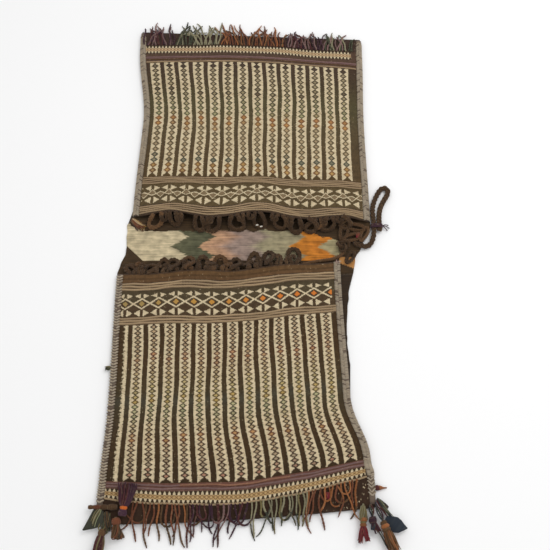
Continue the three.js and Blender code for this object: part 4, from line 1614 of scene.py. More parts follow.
@dataclass
class PouchFace:
    """One pouch's folded face, with its raised stripes."""

    name: str
    pouch: int
    material: Material
    stripes: tuple[float, float]
    stripe_height: float = 1.2
    chamfer: float = 0.75
    rim: tuple[float, ...] = (0, 0.3, 0.8, 1.4)
    rim_radius: float = 2.0
    rows: int = 273
    fold_steps: int = 12
    step: int = 8

    def build(self, rests_on: Piece, trim: Sequence[Piece]) -> Piece:
        """Args:
            rests_on: The length of back cloth under it; not used.
            trim: The pieces sewn to it; not used.

        Returns:
            The face.
        """
        m = np.concatenate([self.rim, np.linspace(self.rim_radius, FORM.depth, self.rows)])
        at = FORM.at_from_mouth(self.pouch, m)[:, None]
        beside, across = self._columns(at)
        start, field_width = FORM.stripe_field(self.pouch, at)
        u = (beside - start) / field_width
        x, y = FORM.face_point(at, across)
        half = FORM.thickness / 2 * rounded(m, self.rim_radius)[:, None]
        middle = FORM.face_top(at, across) - FORM.thickness / 2
        top = np.stack([x, y, middle + half + self._relief(u, m[:, None])], axis=-1)
        under = np.stack([x, y, middle - half], axis=-1)
        turns = np.linspace(0, 1, self.fold_steps + 1)[1:]
        reach = FORM.thickness + FORM.seam_gap / 2
        outer = np.concatenate([top, self._fold(across[-1], turns, reach)])
        inner = np.concatenate([under, self._fold(across[-1], turns, FORM.seam_gap / 2)])[::self.step]
        points, faces = slab(outer, inner, self.step)
        round_fold = FORM.depth + turns * math.pi * reach
        lengths = np.concatenate([m, round_fold])[:, None] * np.ones_like(across[-1:])
        shares, besides = (
            np.vstack([values, np.repeat(values[-1:], self.fold_steps, axis=0)]) for values in (u, beside)
        )
        told = np.stack([shares, lengths, besides], axis=-1)
        measures = np.vstack([told.reshape(-1, 3), told[::self.step].reshape(-1, 3)])
        skein = Skein()
        skein.add(points, faces, measures)
        face = skein.piece(self.name + "_cloth", self.material, "cloth", self.name, "weave")
        flat = ((FORM.width - 2 * FORM.seam_inset) * MM, (FORM.depth + math.pi * reach) * MM)
        return face

    def _columns(self, at: Array) -> tuple[Array, Array]:
        """Spaces each row's columns so that the stripes keep crisp edges.

        Args:
            at: The rows' places along the bag, one in each row.

        Returns:
            The distances from the face's left edge and the places across it, row by row.
        """
        start, field_width = FORM.stripe_field(self.pouch, at)
        left, right = FORM.face_edges(at)
        edge, soft = FORM.stripe_half(self.pouch), self.chamfer
        offsets = np.array((-edge - soft, -edge + soft, -9, -4.5, 0, 4.5, 9, edge - soft, edge + soft))
        column = np.arange(FORM.stripe_count)[:, None] + 0.5 + offsets / FORM.stripe_pitch(self.pouch)
        inside = start + field_width * column.reshape(1, -1) / FORM.stripe_count
        near = inside[:, :1] * np.array([[0.0, 0.35, 0.7]])
        far = lerp(inside[:, -1:], right - left, np.array([[0.25, 0.5, 0.75, 0.9, 1.0]]))
        beside = np.hstack([near, inside, far])
        return beside, beside / (right - left) * 2 - 1

    def _relief(self, u: Array, m: Array) -> Array:
        """Gives the height of the raised stripes.

        Args:
            u: Places across the stripes, from 0 to 1.
            m: Distances from the mouth.

        Returns:
            The heights.
        """
        column = np.clip(u, 0, 0.99999) * FORM.stripe_count
        aside = np.abs(column - np.floor(column) - 0.5) * FORM.stripe_pitch(self.pouch)
        half = FORM.stripe_half(self.pouch)
        crisp = np.clip((half + self.chamfer - aside) / (2 * self.chamfer), 0, 1)
        start, end = self.stripes
        ends = np.clip((m - start) / 2, 0, 1) * np.clip((end - m) / 2, 0, 1)
        crowned = 1 - 0.25 * (aside / half) ** 2
        return self.stripe_height * crisp * crowned * ends * ((u >= 0) & (u <= 1))

    def _fold(self, across: Array, turns: Array, radius: float) -> Array:
        """Turns the cloth round the folded end.

        Args:
            across: The columns.
            turns: From 0 at the face to 1 at the back.
            radius: The radius of the turn.

        Returns:
            Rows of points.
        """
        end = 2.0 * self.pouch
        face_x, face_y = FORM.face_point(end, across)
        back_x, back_y = FORM.back_point(end, across)
        share = turns[:, None]
        x = lerp(face_x[None, :], back_x[None, :], share)
        y = lerp(face_y[None, :], back_y[None, :], share) + self.pouch * radius * np.sin(math.pi * share)
        z = FORM.thickness + FORM.seam_gap / 2 + radius * np.cos(math.pi * share) * np.ones_like(x)
        return np.stack([x, y, z], axis=-1)


@dataclass(frozen=True)
class TwinedRow:
    """One twined row: its distance from the mouth, its yarn, its radius and the yarn of both its ends."""

    m: float
    dye: Dye
    radius: float = 2.2
    end_dye: Dye | None = None


@dataclass
class TwinedRows:
    """The twined rows that lie across a face."""

    name: str
    pouch: int
    finishes: Finishes
    rows: tuple[TwinedRow, ...]
    spacing: float = 1.5
    ply: Ply = Ply(Lay.TWIST, 2, 7.0, 5)
    ends: float = 0.965
    parts: int = 7
    middle_parts: tuple[int, ...] = (2, 3, 4)

    def build(self) -> Piece:
        """Makes the rows.

        Returns:
            All rows of the face as one piece.
        """
        skein = Skein()
        count = int(FORM.width / self.spacing)
        across = np.linspace(-self.ends, self.ends, count)
        for number, row in enumerate(self.rows):
            seed = number + 17 * self.pouch
            drift = 0.7 * np.sin(across * 11 + seed) + 0.5 * np.sin(across * 29 + 2 * seed)
            at = FORM.at_from_mouth(self.pouch, row.m + drift)
            path = FORM.on_face(at, across, row.radius * 0.2)
            self._twine(skein, path, row, seed)
        return skein.piece(self.name, self.finishes.yarn, "cloth")

    def _twine(self, skein: Skein, path: Array, row: TwinedRow, seed: int) -> None:
        """Twines one row in short lengths, each of its own shade.

        Args:
            skein: Gathers the strands.
            path: The row's way across the face.
            row: The row.
            seed: Tells the rows apart.
        """
        cuts = np.linspace(0, len(path) - 1, self.parts + 1).astype(int)
        for part, (first, last) in enumerate(zip(cuts, cuts[1:])):
            shade = vary(seed * 3.1 + part, 0.25, 0.85)
            dye = row.end_dye if row.end_dye and part not in self.middle_parts else row.dye
            skein.add_strands(path[first:last + 1], row.radius, self.ply, shade, dye)


@dataclass
class SideBinding:
    """The braid that closes one side of a pouch: a dark core under two columns of slanting stitches."""

    name: str
    pouch: int
    side: int
    finishes: Finishes
    stations: int = 90
    span: float = 8.5
    height: float = 3.0
    shoulder: float = 4.0
    frayed: int = 0
    open_part: tuple[float, float] = (0.0, 0.0)
    stitch_pitch: float = 3.3
    stitch_radius: float = 1.35
    slant: float = 4.0
    spine: float = 1.4
    tuck: float = 0.8
    ends: float = 2.0
    shares: tuple[float, float] = (0.14, 0.88)
    open_shares: tuple[float, float] = (0.4, 0.88)
    open_thickening: float = 1.35

    def build(self) -> Piece:
        """Makes the binding.

        Returns:
            The binding.
        """
        skein = Skein()
        places = np.linspace(self.ends, FORM.depth - self.ends, self.stations)
        core = np.stack([self._section(place) for place in places])
        skein.add_loft(core, 0.3, Dye.DARK_STITCH)
        count = int((FORM.depth - 4 * self.ends - self.slant) / self.stitch_pitch)
        for number in range(count):
            m = self.ends + number * self.stitch_pitch
            if number % 2 or not self._open(m):
                self._stitch(skein, m, number)
        for number in range(self.frayed):
            self._fray(skein, number)
        return skein.piece(self.name + "_braid", self.finishes.yarn, "binding", self.name)

    def _open(self, m: float) -> bool:
        """Tells whether the stitches lie apart at a distance from the mouth."""
        return self.open_part[0] < m < self.open_part[1]

    def _on_face(self, m: float, inward: float, rise: float) -> Array:
        """Places a point on the face beside its edge.

        Args:
            m: The distance from the mouth.
            inward: The distance from the edge.
            rise: Height above the face.

        Returns:
            The point.
        """
        at = FORM.at_from_mouth(self.pouch, m)
        left, right = FORM.face_edges(at)
        return FORM.on_face(at, self.side * (1 - 2 * inward / (right - left)), rise)

    def _beside(self, m: float, outward: float, rise: float) -> Array:
        """Places a point outside the face's edge, measured up from the edge's top."""
        point = self._on_face(m, 0.0, rise)
        return point + np.array([self.side * outward, 0.0, 0.0])

    def _section(self, m: float) -> Array:
        """Gives the core's section, tucked in under the stitches.

        Args:
            m: The distance from the mouth.

        Returns:
            The section's points.
        """
        inset, tuck = FORM.seam_inset, self.tuck
        low = -FORM.thickness - FORM.seam_gap + 0.4
        return np.array([
            self._beside(m, inset - tuck, low),
            self._beside(m, inset - tuck, -tuck),
            self._beside(m, inset - self.shoulder, self.height - tuck),
            self._on_face(m, self.span / 2, self.height - tuck),
            self._on_face(m, self.span - tuck, self.height / 2 - tuck),
            self._on_face(m, self.span - tuck, 0.3),
            self._beside(m, 0.3, 0.3),
            self._beside(m, 0.3, low),
        ])

    def _stitch(self, skein: Skein, m: float, number: int) -> None:
        """Sews one pair of slanting stitches, which meet on the spine of the braid.

        Args:
            skein: Gathers the stitches.
            m: Where they start, from the mouth.
            number: Tells the stitches apart.
        """
        top = self.height - 0.5
        inset = FORM.seam_inset
        low = -FORM.thickness - FORM.seam_gap + 1.2
        for column in range(2):
            seed = number + 211 * self.pouch + 97 * self.side + 0.13 * column
            end = m + self.slant * vary(seed + 0.4, 0.85, 1.15)
            meet = self._on_face(end, self.spine, top + 0.3)
            if column == 0:
                way = [
                    self._on_face(m, self.span + 0.8 * scatter(seed + 0.2), 0.4),
                    self._on_face(lerp(m, end, 0.25), self.span - 2, self.height * 0.6),
                    self._on_face(lerp(m, end, 0.6), lerp(self.span, self.spine, 0.5), top), meet,
                ]
            else:
                way = [
                    self._beside(m, inset - 0.6, low),
                    self._beside(lerp(m, end, 0.2), inset, -FORM.thickness / 2),
                    self._beside(lerp(m, end, 0.4), inset - 1.2, self.height * 0.35),
                    self._beside(lerp(m, end, 0.7), 1.0, top), meet,
                ]
            thick = self.stitch_radius * vary(seed + 0.6, 0.9, 1.15)
            if self._open(m):
                thick *= self.open_thickening
            pale, dark = self.open_shares if self._open(m) else self.shares
            draw = scatter(seed)
            dye = Dye.PALE_STITCH if draw < pale else Dye.DARK_STITCH if draw > dark else Dye.GREY_MAUVE
            skein.add_tube(smooth_path(way, 2.6), thick, 6, vary(seed + 0.8, 0.3, 0.7), dye)

    def _fray(self, skein: Skein, number: int) -> None:
        """Lets one worn thread stick out of the braid's end at the mouth.

        Args:
            skein: Gathers the threads.
            number: Tells the threads apart.
        """
        inward = self.span * scatter(number + 0.2) - 3
        begin = self._on_face(vary(number + 0.1, 1, 8), inward, self.height - 0.6)
        turn = TURN * scatter(number + 0.3)
        out = vary(number + 0.4, 4, 9)
        reach = np.array([math.cos(turn) * out, math.sin(turn) * out * 0.8 - 2 * self.pouch, 0.0])
        way = [begin, begin + reach * 0.5 + UP * 1.6, begin + reach]
        dye = (Dye.MAUVE, Dye.GREY_MAUVE, Dye.PALE_STITCH)[number % 3]
        skein.add_tube(smooth_path(way, 1.5), 0.9, 5, scatter(number + 0.5), dye)


class LoopShape(Enum):
    """How a closure loop lies: each half goes through these shares of its width and of its reach."""

    RING = ((0.16, 0.0), (0.3, 0.14), (0.52, 0.4), (0.56, 0.64), (0.36, 0.9))
    LEANING = ((0.34, 0.0), (0.36, 0.16), (0.5, 0.5), (0.44, 0.74), (0.28, 0.92))
    CROSSED = ((-0.34, 0.0), (-0.2, 0.14), (0.16, 0.34), (0.5, 0.6), (0.36, 0.88))


@dataclass
class ClosureLoops:
    """The plaited loops along one mouth, each sewn on by its two ends and lying over on the bridge."""

    name: str
    pouch: int
    finishes: Finishes
    places: tuple[float, ...]
    first_seed: int
    reach: float
    width: float
    pale_lump_loop: int = -1
    curls: int = 1
    short_before: float = -1.0
    short_reach: float = 0.62
    cord: float = 10.2
    clearance: float = 0.3
    ply: Ply = Ply(Lay.PLAIT, 3, 20.0, 7)
    spacing: float = 1.5
    pale_lump_places: tuple[float, float] = (0.4, 0.5)
    pale_lump_half: float = 3.4
    pale_lump_slant: float = 0.6
    pale_lump_radius: float = 2.0
    curl_steps: tuple[tuple[float, float, float], ...] = (
        (0.0, 0.0, 0.0), (0.12, 0.5, 0.1), (0.02, 0.95, 0.3), (-0.22, 1.0, 0.55), (-0.36, 0.66, 0.75),
    )

    def build(self) -> list[Piece]:
        """Makes the loops.

        Returns:
            One piece for each loop.
        """
        made = []
        for number, across in enumerate(self.places):
            seed = number + self.first_seed
            path = smooth_path(self._way(across, seed), self.spacing)
            path[:, 2] += 1.2 * np.sin(travelled(path) / 9 + seed) ** 2
            skein = Skein()
            thick = self.cord / 2 * vary(seed + 0.9, 0.9, 1.15)
            self._plait(skein, path, thick, seed)
            for curl in range(self.curls):
                way = self._curl(across + 0.04 * curl, seed + 11 * curl)
                self._plait(skein, smooth_path(way, self.spacing), thick * 0.85, seed + 0.35 + curl)
            if number == self.pale_lump_loop:
                self._pale_lumps(skein, path, thick)
            node = f"{self.name}_{number + 1}"
            made.append(skein.piece(node + "_plait", self.finishes.goat_hair, "goat_hair", node))
        return made

    def _plait(self, skein: Skein, path: Array, thick: float, seed: float) -> None:
        """Plaits three strands of goat hair along a path.

        Args:
            skein: Gathers the strands.
            path: The path's points.
            thick: The plait's radius.
            seed: Tells the plaits apart.
        """
        dye = Dye.BROWN if scatter(seed + 0.45) < 0.12 else Dye.DARK_BROWN
        lumpy = thick * (1 + 0.13 * np.sin(travelled(path) / 4.3 + 5 * seed))
        skein.add_strands(path, lumpy, self.ply, scatter(seed + 0.1), dye)

    def _place(self, across: float, aside: float, out: float, rise: float) -> Array:
        """Places a point beside a loop's middle, out from the mouth and above the bridge or the mouth's edge.

        Args:
            across: The loop's place along the mouth.
            aside: The distance along the mouth.
            out: The distance out from the mouth.
            rise: Height above where a single cord lies.

        Returns:
            The point.
        """
        left, right = FORM.face_edges(self.pouch)
        place = across + aside * 2 / (right - left)
        x, y = FORM.face_point(self.pouch, place)
        high = FORM.face_under(self.pouch, place) + FORM.thickness / 2
        resting = FORM.thickness + self.clearance + self.cord / 2
        drop = smoothstep(out, self.cord * 0.4, self.cord * 2.2)
        y = y - self.pouch * (self.clearance + out)
        return np.array([x, y, lerp(high, resting, drop) + rise], float)

    def _way(self, across: float, seed: int) -> list[Array]:
        """Leads a loop out from the mouth and back.

        Args:
            across: The loop's place along the mouth.
            seed: Tells the loops apart.

        Returns:
            The points that the loop goes through.
        """
        shape = pick(list(LoopShape), seed + 0.55)
        short = self.short_reach if across < self.short_before else 1.0
        reach = self.reach * vary(seed, 0.85, 1.15) * short
        width = self.width * vary(seed + 0.3, 0.8, 1.2)
        lean = width * vary(seed + 0.7, -0.5, 0.5)
        halves = []
        for side in (-1, 1):
            over = self.cord * 0.8 if side > 0 and shape is LoopShape.CROSSED else 0.0
            half = []
            for wide, far in shape.value:
                rise = over * (1 - smoothstep(far, 0.5, 0.9))
                half.append(self._place(across, side * wide * width + lean * far, reach * far, rise))
            halves.append(half)
        return [*halves[0], self._place(across, lean, reach, 0.0), *halves[1][::-1]]

    def _curl(self, across: float, seed: int) -> list[Array]:
        """Leads a short loose end out beside a loop and round.

        Args:
            across: The loop's place along the mouth.
            seed: Tells the loops apart.

        Returns:
            The points that the loose end goes through.
        """
        width = self.width if scatter(seed + 0.65) > 0.5 else -self.width
        reach = self.reach * vary(seed + 0.75, 0.45, 0.7)
        return [
            self._place(across, width * (0.72 + wide), far * reach, rise * self.cord)
            for wide, far, rise in self.curl_steps
        ]

    def _pale_lumps(self, skein: Skein, path: Array, thick: float) -> None:
        """Puts two small pale lumps onto a loop.

        Args:
            skein: Gathers the lumps.
            path: The loop's way.
            thick: The loop cord's radius.
        """
        run = np.linspace(-1, 1, 9)
        bulge = np.sqrt(np.maximum(1 - run**2, 0.02))
        for share in self.pale_lump_places:
            middle = path[int(share * len(path))] + UP * (thick + 0.6)
            lump = middle + np.stack([self.pale_lump_half * run, self.pale_lump_slant * run, 0 * run], axis=1)
            skein.add_tube(lump, self.pale_lump_radius * bulge, 8, 0.8, Dye.BONE)


@dataclass(frozen=True)
class FringeGroup:
    """One colour group of a fringe: its stretch across the face, its yarns, their tips and their reach."""

    name: str
    start: float
    end: float
    dyes: tuple[Dye, ...]
    tips: tuple[Dye, ...] = ()
    reach: float = 1.0


@dataclass
class Fringe:
    """The yarn ends sewn along a folded end, which fall over it onto the floor."""

    name: str
    pouch: int
    finishes: Finishes
    groups: tuple[FringeGroup, ...]
    setback: float
    spacing: float
    length: float
    radius: float
    lean: float
    curl: float
    returning: float = 0.0
    return_turn: float = 2.7
    tipped: float = 0.7
    ply: Ply = Ply(Lay.TWIST, 2, 7.0, 5)
    point_spacing: float = 2.2

    def build(self) -> list[Piece]:
        """Makes the fringe.

        Returns:
            One piece for each colour group.
        """
        made = []
        for group in self.groups:
            skein = Skein()
            across = np.arange(group.start, group.end, 2 * self.spacing / FORM.width)
            for number, place in enumerate(across):
                self._strand(skein, group, float(place), number + 50 * group.start)
            node = f"{self.name}_{group.name}"
            made.append(skein.piece(node + "_yarns", self.finishes.yarn, group.name + "_yarn", node))
        return made

    def _strand(self, skein: Skein, group: FringeGroup, across: float, seed: float) -> None:
        """Lays one yarn end, which leans and curls in its own way.

        Args:
            skein: Gathers the strands.
            group: Its colour group.
            across: Its place across the face.
            seed: Tells the strands apart.
        """
        place = across + vary(seed + 0.15, -0.006, 0.006)
        root = FORM.on_face(FORM.at_from_fold(self.pouch, self.setback), place)
        length = self.length * group.reach * vary(seed + 0.25, 0.72, 1.22)
        share = np.linspace(0, 1, int(length / self.point_spacing))
        drawn = 0.6 * math.sin(across * 19 + self.pouch) + 0.4 * math.sin(across * 47 + 2)
        lean = self.lean * (0.7 * drawn + vary(seed + 0.35, -0.6, 0.6))
        turn = vary(seed + 0.45, -1, 1)
        curl = self.curl * turn * share**2
        if scatter(seed + 0.5) < self.returning:
            curl = math.copysign(self.return_turn, turn) * smoothstep(share, 0.3, 0.85)
        wave = 0.22 * np.sin(share * vary(seed + 0.55, 5, 10) + vary(seed + 0.65, 0, 6))
        heading = lean * np.minimum(1, 0.3 + share) + curl + wave
        step = length / (len(share) - 1)
        x = root[0] + np.cumsum(np.sin(heading)) * step
        y = root[1] + self.pouch * np.cumsum(np.cos(heading)) * step
        thick = self.radius * vary(seed + 0.75, 0.8, 1.2)
        path = FORM.lay(np.column_stack([x, y]), thick)
        path[:, 2] += vary(seed + 0.85, 0, 2.5) * np.sin(share * math.pi)
        taper = thick * (1 - 0.35 * smoothstep(share, 0.85, 1))
        shade = scatter(seed + 0.05)
        cut = len(path) - 1
        if group.tips and scatter(seed + 0.33) < self.tipped:
            cut = int(len(path) * vary(seed + 0.43, 0.45, 0.7))
            tip = pick(group.tips, seed + 0.53)
            skein.add_strands(path[cut:], taper[cut:], self.ply, shade, tip)
        dye = pick(group.dyes, seed + 0.95)
        skein.add_strands(path[:cut + 1], taper[:cut + 1], self.ply, shade, dye)


def lying_axes(node: str, start: Sequence[float], heading: float) -> tuple[Array, Array]:
    """Sets up the axes of something that lies on the floor or the cloth.

    Args:
        node: Its solid, at whose middle height it lies.
        start: Where it starts, in plan.
        heading: Its direction in degrees.

    Returns:
        Its start, and the directions onward, to its left and up, one in each row.
    """
    angle = math.radians(heading)
    low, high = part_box(node)
    along = np.array([math.cos(angle), math.sin(angle), 0.0])
    origin = np.array([*start, (low[2] + high[2]) / 2 / MM])
    return origin, np.stack([along, np.cross(UP, along), UP])


@dataclass(frozen=True)
class Band:
    """A stretch of a tassel's head that thread is wound round: its yarn, its ends and its radius."""

    dye: Dye
    start: float
    end: float
    radius: float


@dataclass(frozen=True)
class Skirt:
    """The loose strands of a tassel, from its neck's half width to their spread."""

    dyes: tuple[Dye, ...]
    start: float
    end: float
    neck: float
    spread: float
    strands: int
    looped: bool = False
    drawn: float = 0.0


@dataclass
class Tassel:
    """One tassel lying on the floor or the cloth: a cord, a wound head and a skirt of yarn."""

    node: str
    slot: str
    start: tuple[float, float]
    heading: float
    cord: tuple[Dye, ...] = ()
    cord_length: float = 26.0
    bands: tuple[Band, ...] = ()
    skirts: tuple[Skirt, ...] = ()
    flatness: float = 1.0
    cord_radius: float = 2.2
    cord_ply: Ply = Ply(Lay.TWIST, 2, 8.0, 6)
    thread: float = 0.75
    yarn: float = 1.1
    band_end: float = 0.72
    _origin: Array = field(init=False, repr=False)
    _axes: Array = field(init=False, repr=False)

    def build(self, finishes: Finishes) -> Piece:
        """Makes the tassel.

        Args:
            finishes: The shared materials.

        Returns:
            The tassel.
        """
        self._origin, self._axes = lying_axes(self.node, self.start, self.heading)
        skein = Skein()
        self._add_cord(skein)
        for number, band in enumerate(self.bands):
            self._add_band(skein, band, number)
        for number, skirt in enumerate(self.skirts):
            for strand in range(skirt.strands):
                self._add_strand(skein, skirt, strand + 100 * number)
        return skein.piece(self.node + "_yarns", finishes.yarn, self.slot, self.node)

    def _place(self, along: Number, aside: Number, up: Number) -> Array:
        """Places points by their distances along, beside and above the tassel's axis."""
        measures = np.stack(np.broadcast_arrays(along, aside, self.flatness * up), axis=-1)
        return self._origin + measures @ self._axes

    def _settled(self, points: Array, radius: float) -> Array:
        """Keeps points on or above what lies under them."""
        under = FORM.height_at(points[:, 0], points[:, 1]) + radius
        return np.column_stack([points[:, :2], np.maximum(points[:, 2], under)])

    def _add_cord(self, skein: Skein) -> None:
        """Adds the cords that the tassel hangs by.

        Args:
            skein: Gathers the strands.
        """
        share = np.linspace(0, 1, 16)
        for number, dye in enumerate(self.cord):
            seed = number + len(self.node) * 1.7 + self.heading
            bow = 3.5 * (number - (len(self.cord) - 1) / 2)
            aside = bow * np.sin(share * math.pi) + 0.8 * np.sin(share * 7 + seed)
            path = self._place(share * self.cord_length, aside, 0.6 * np.cos(share * 5 + seed))
            path = self._settled(path, self.cord_radius)
            skein.add_strands(path, self.cord_radius, self.cord_ply, scatter(seed), dye)

    def _add_band(self, skein: Skein, band: Band, number: int) -> None:
        """Winds thread round a stretch of the head.

        Args:
            skein: Gathers the strands.
            band: The stretch.
            number: Tells the stretches apart.
        """
        turns = max(2, int((band.end - band.start) / (1.7 * self.thread)))
        angle = np.linspace(0, TURN * turns, 14 * turns)
        coil = self._round(band, angle / angle[-1], angle, 1.0)
        skein.add_tube(coil, self.thread, 5, scatter(number + self.heading), band.dye)
        ring = np.linspace(0, TURN, 13)[:-1]
        core = self._round(band, np.linspace(0, 1, 9)[:, None], ring, 0.97)
        skein.add_loft(core, 0.2, band.dye)

    def _round(self, band: Band, share: Array, angle: Array, size: float) -> Array:
        """Places points round a wound stretch, by shares along it and angles, at a share of its radius."""
        bulge = size * band.radius * lerp(self.band_end, 1, np.sin(share * math.pi))
        return self._place(lerp(band.start, band.end, share), bulge * np.cos(angle), bulge * np.sin(angle))

    def _add_strand(self, skein: Skein, skirt: Skirt, number: int) -> None:
        """Adds one strand of a skirt.

        Args:
            skein: Gathers the strands.
            skirt: The skirt.
            number: Tells the strands apart.
        """
        seed = number * 1.31 + self.heading * 0.77
        angle = TURN * scatter(seed)
        depth = math.sqrt(scatter(seed + 0.2))
        end = lerp(skirt.start, skirt.end, vary(seed + 0.3, 0.8, 1.05))
        share = np.linspace(0, 1, 18)
        if skirt.looped:
            out = depth * lerp(skirt.neck, skirt.spread, np.sin(share * math.pi))
            along = lerp(skirt.start, end, np.sin(share * math.pi))
            aside = out * np.cos(angle + 0.9 * math.pi * share)
        else:
            out = depth * lerp(skirt.neck, skirt.spread, share**0.7)
            along = lerp(skirt.start, end, share)
            aside = out * math.cos(angle) + 0.9 * np.sin(share * vary(seed + 0.4, 4, 7) + angle)
        up = out * math.sin(angle) + 0.5 * np.sin(share * 5 + 2 * angle)
        path = self._settled(self._place(along, aside + skirt.drawn * share, up), self.yarn)
        taper = self.yarn * (1 - 0.4 * share**4) * vary(seed + 0.7, 0.8, 1.2)
        skein.add_tube(path, taper, 5, scatter(seed + 0.5), pick(skirt.dyes, seed + 0.6))


@dataclass
class FeltFlap:
    """A folded scrap of felt at the end of a short cord."""

    node: str
    name: str
    slot: str
    start: tuple[float, float]
    heading: float
    dye: Dye
    from_start: float
    length: float
    edges: tuple[tuple[float, float], ...]
    thickness: float = 3.4
    bend: float = 1.6
    rounding: float = 0.45
    clearance: float = 0.4

    def build(self, finishes: Finishes) -> Piece:
        """Args:
            finishes: The shared materials.

        Returns:
            The flap.
        """
        origin, axes = lying_axes(self.node, self.start, self.heading)
        share = np.linspace(0, 1, 22)[:, None]
        places = np.linspace(0, 1, len(self.edges))
        near, far = (np.interp(share, places, side) for side in zip(*self.edges))
        half = (far - near) / 2
        turn = np.linspace(0, TURN, 29)[:-1]
        across, through = (squared(wave, self.rounding) for wave in (np.cos(turn), np.sin(turn)))
        lift = self.bend * np.sin(across * 2.2 + share * 3) + self.thickness / 2 * through
        beside = (near + far) / 2 + half * across
        onward = self.from_start + share * self.length
        measures = np.stack(np.broadcast_arrays(onward, beside, lift), axis=-1)
        rings = origin + measures @ axes
        under = FORM.height_at(rings[..., 0], rings[..., 1]) + self.clearance
        rings[..., 2] = np.maximum(rings[..., 2], under + self.thickness * (through + 1) / 2)
        skein = Skein()
        skein.add_loft(rings, 0.5, self.dye)
        piece = skein.piece(self.name, finishes.felt, self.slot, self.node)
        return piece


@dataclass
class BridgeTrim:
    """The knot of cord at the right end of the bridge, and the loose end of the lower mouth's edge cord."""

    finishes: Finishes
    knot_at: float = -0.08
    knot_across: float = 0.87
    knot_radius: float = 19.0
    knot_height: float = 17.0
    knot_cord: float = 4.2
    knot_ply: Ply = Ply(Lay.PLAIT, 3, 18.0, 7)
    wisps: int = 14
    cord: float = 9.0
    cord_ply: Ply = Ply(Lay.TWIST, 2, 12.0, 7)
    clearance: float = 0.3
    cord_places: tuple[tuple[float, float], ...] = (
        (-0.9, 0.58), (-0.82, 0.735), (-0.78, 0.84), (-0.62, 0.89), (-0.32, 0.9),
    )
    rings: tuple[tuple[float, float, float, float, float], ...] = (
        (29, 50, 25, 6.5, -12), (3, 36, 22, 8.5, 78), (21, 22, 21, 8, 14), (16, -30, 15, 7, 60),
        (51, 31, 20, 7, 66),
    )

    def build(self) -> None:
        """Makes the edge cord, then the knot."""
        height = FORM.thickness + self.clearance + self.cord / 2
        points = [(*FORM.back_point(at, across), height) for at, across in self.cord_places]
        path = smooth_path(points, 1.5)
        skein = Skein()
        skein.add_strands(path, self.cord / 2, self.cord_ply, 0.7, Dye.BROWN)
        hair = self.finishes.goat_hair
        edge = skein.piece("lower_mouth_edge_cord", hair, "goat_hair", "lower_mouth_cord")
        self.cord * MM
        self._knot()

    def _knot(self) -> None:
        """Ties the knot, with a wisp of red thread in it."""
        turn = np.linspace(0, TURN, 90)
        x, y = FORM.back_point(self.knot_at, self.knot_across)
        spread = (self.knot_radius - self.knot_cord) / 3
        rise = self.knot_height / 2 - self.knot_cord
        middle = np.array([float(x), float(y), FORM.thickness + self.clearance + self.knot_height / 2])
        tied = np.stack([
            spread * (np.sin(turn) + 2 * np.sin(2 * turn)),
            spread * (np.cos(turn) - 2 * np.cos(2 * turn)),
            -rise * np.sin(3 * turn),
        ], axis=1) + middle
        skein = Skein()
        skein.add_strands(tied, self.knot_cord, self.knot_ply, 0.5, Dye.DARK_BROWN)
        for number, ring in enumerate(self.rings):
            self._ring(skein, middle, ring, number)
        for number in range(self.wisps):
            begin = middle + np.array([vary(number, 32, 37), vary(number + 0.4, 18, 23), rise])
            end = begin + np.array([vary(number + 0.6, -2, 5), vary(number + 0.8, 2, 13), -2.0])
            wisp = smooth_path([begin, lerp(begin, end, 0.5) + UP * 1.5, end], 1.5)
            dye = Dye.RUST if number % 2 else Dye.CRIMSON
            skein.add_tube(wisp, 1.0, 5, scatter(number + 0.2), dye)
        skein.piece("bridge_knot_cord", self.finishes.goat_hair, "goat_hair", "bridge_knot")

    def _ring(
        self, skein: Skein, middle: Array, ring: tuple[float, float, float, float, float], number: int,
    ) -> None:
        """Lays one long loop of cord beside the knot.

        Args:
            skein: Gathers the cords.
            middle: The knot's middle.
            ring: Its place from there, its half length and half width, and its turn in degrees.
            number: Tells the loops apart.
        """
        x, y, half_length, half_width, degrees = ring
        turn = np.linspace(0, TURN, 70)
        angle = math.radians(degrees)
        along = half_length * np.cos(turn)
        aside = half_width * np.sin(turn) * (1 + 0.25 * np.cos(turn))
        height = FORM.thickness + self.clearance + self.knot_cord - middle[2]
        path = middle + np.stack([
            x + along * math.cos(angle) - aside * math.sin(angle),
            y + along * math.sin(angle) + aside * math.cos(angle),
            height + 2.4 + 2.4 * np.sin(turn + number),
        ], axis=1)
        dye = Dye.DARK_BROWN if number % 2 else Dye.BROWN
        skein.add_strands(path, self.knot_cord, self.knot_ply, scatter(number + 0.3), dye)


def solid_end(node: str, corner: int) -> tuple[float, float]:
    """Gives the middle of a solid's left end, corner 0, or of its right end, corner 1."""
    low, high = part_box(node)
    return ((low, high)[corner][0] / MM, (low[1] + high[1]) / 2 / MM)


# The plan of the trim, in millimetres; places across a face go from -1 to 1, and headings are in degrees

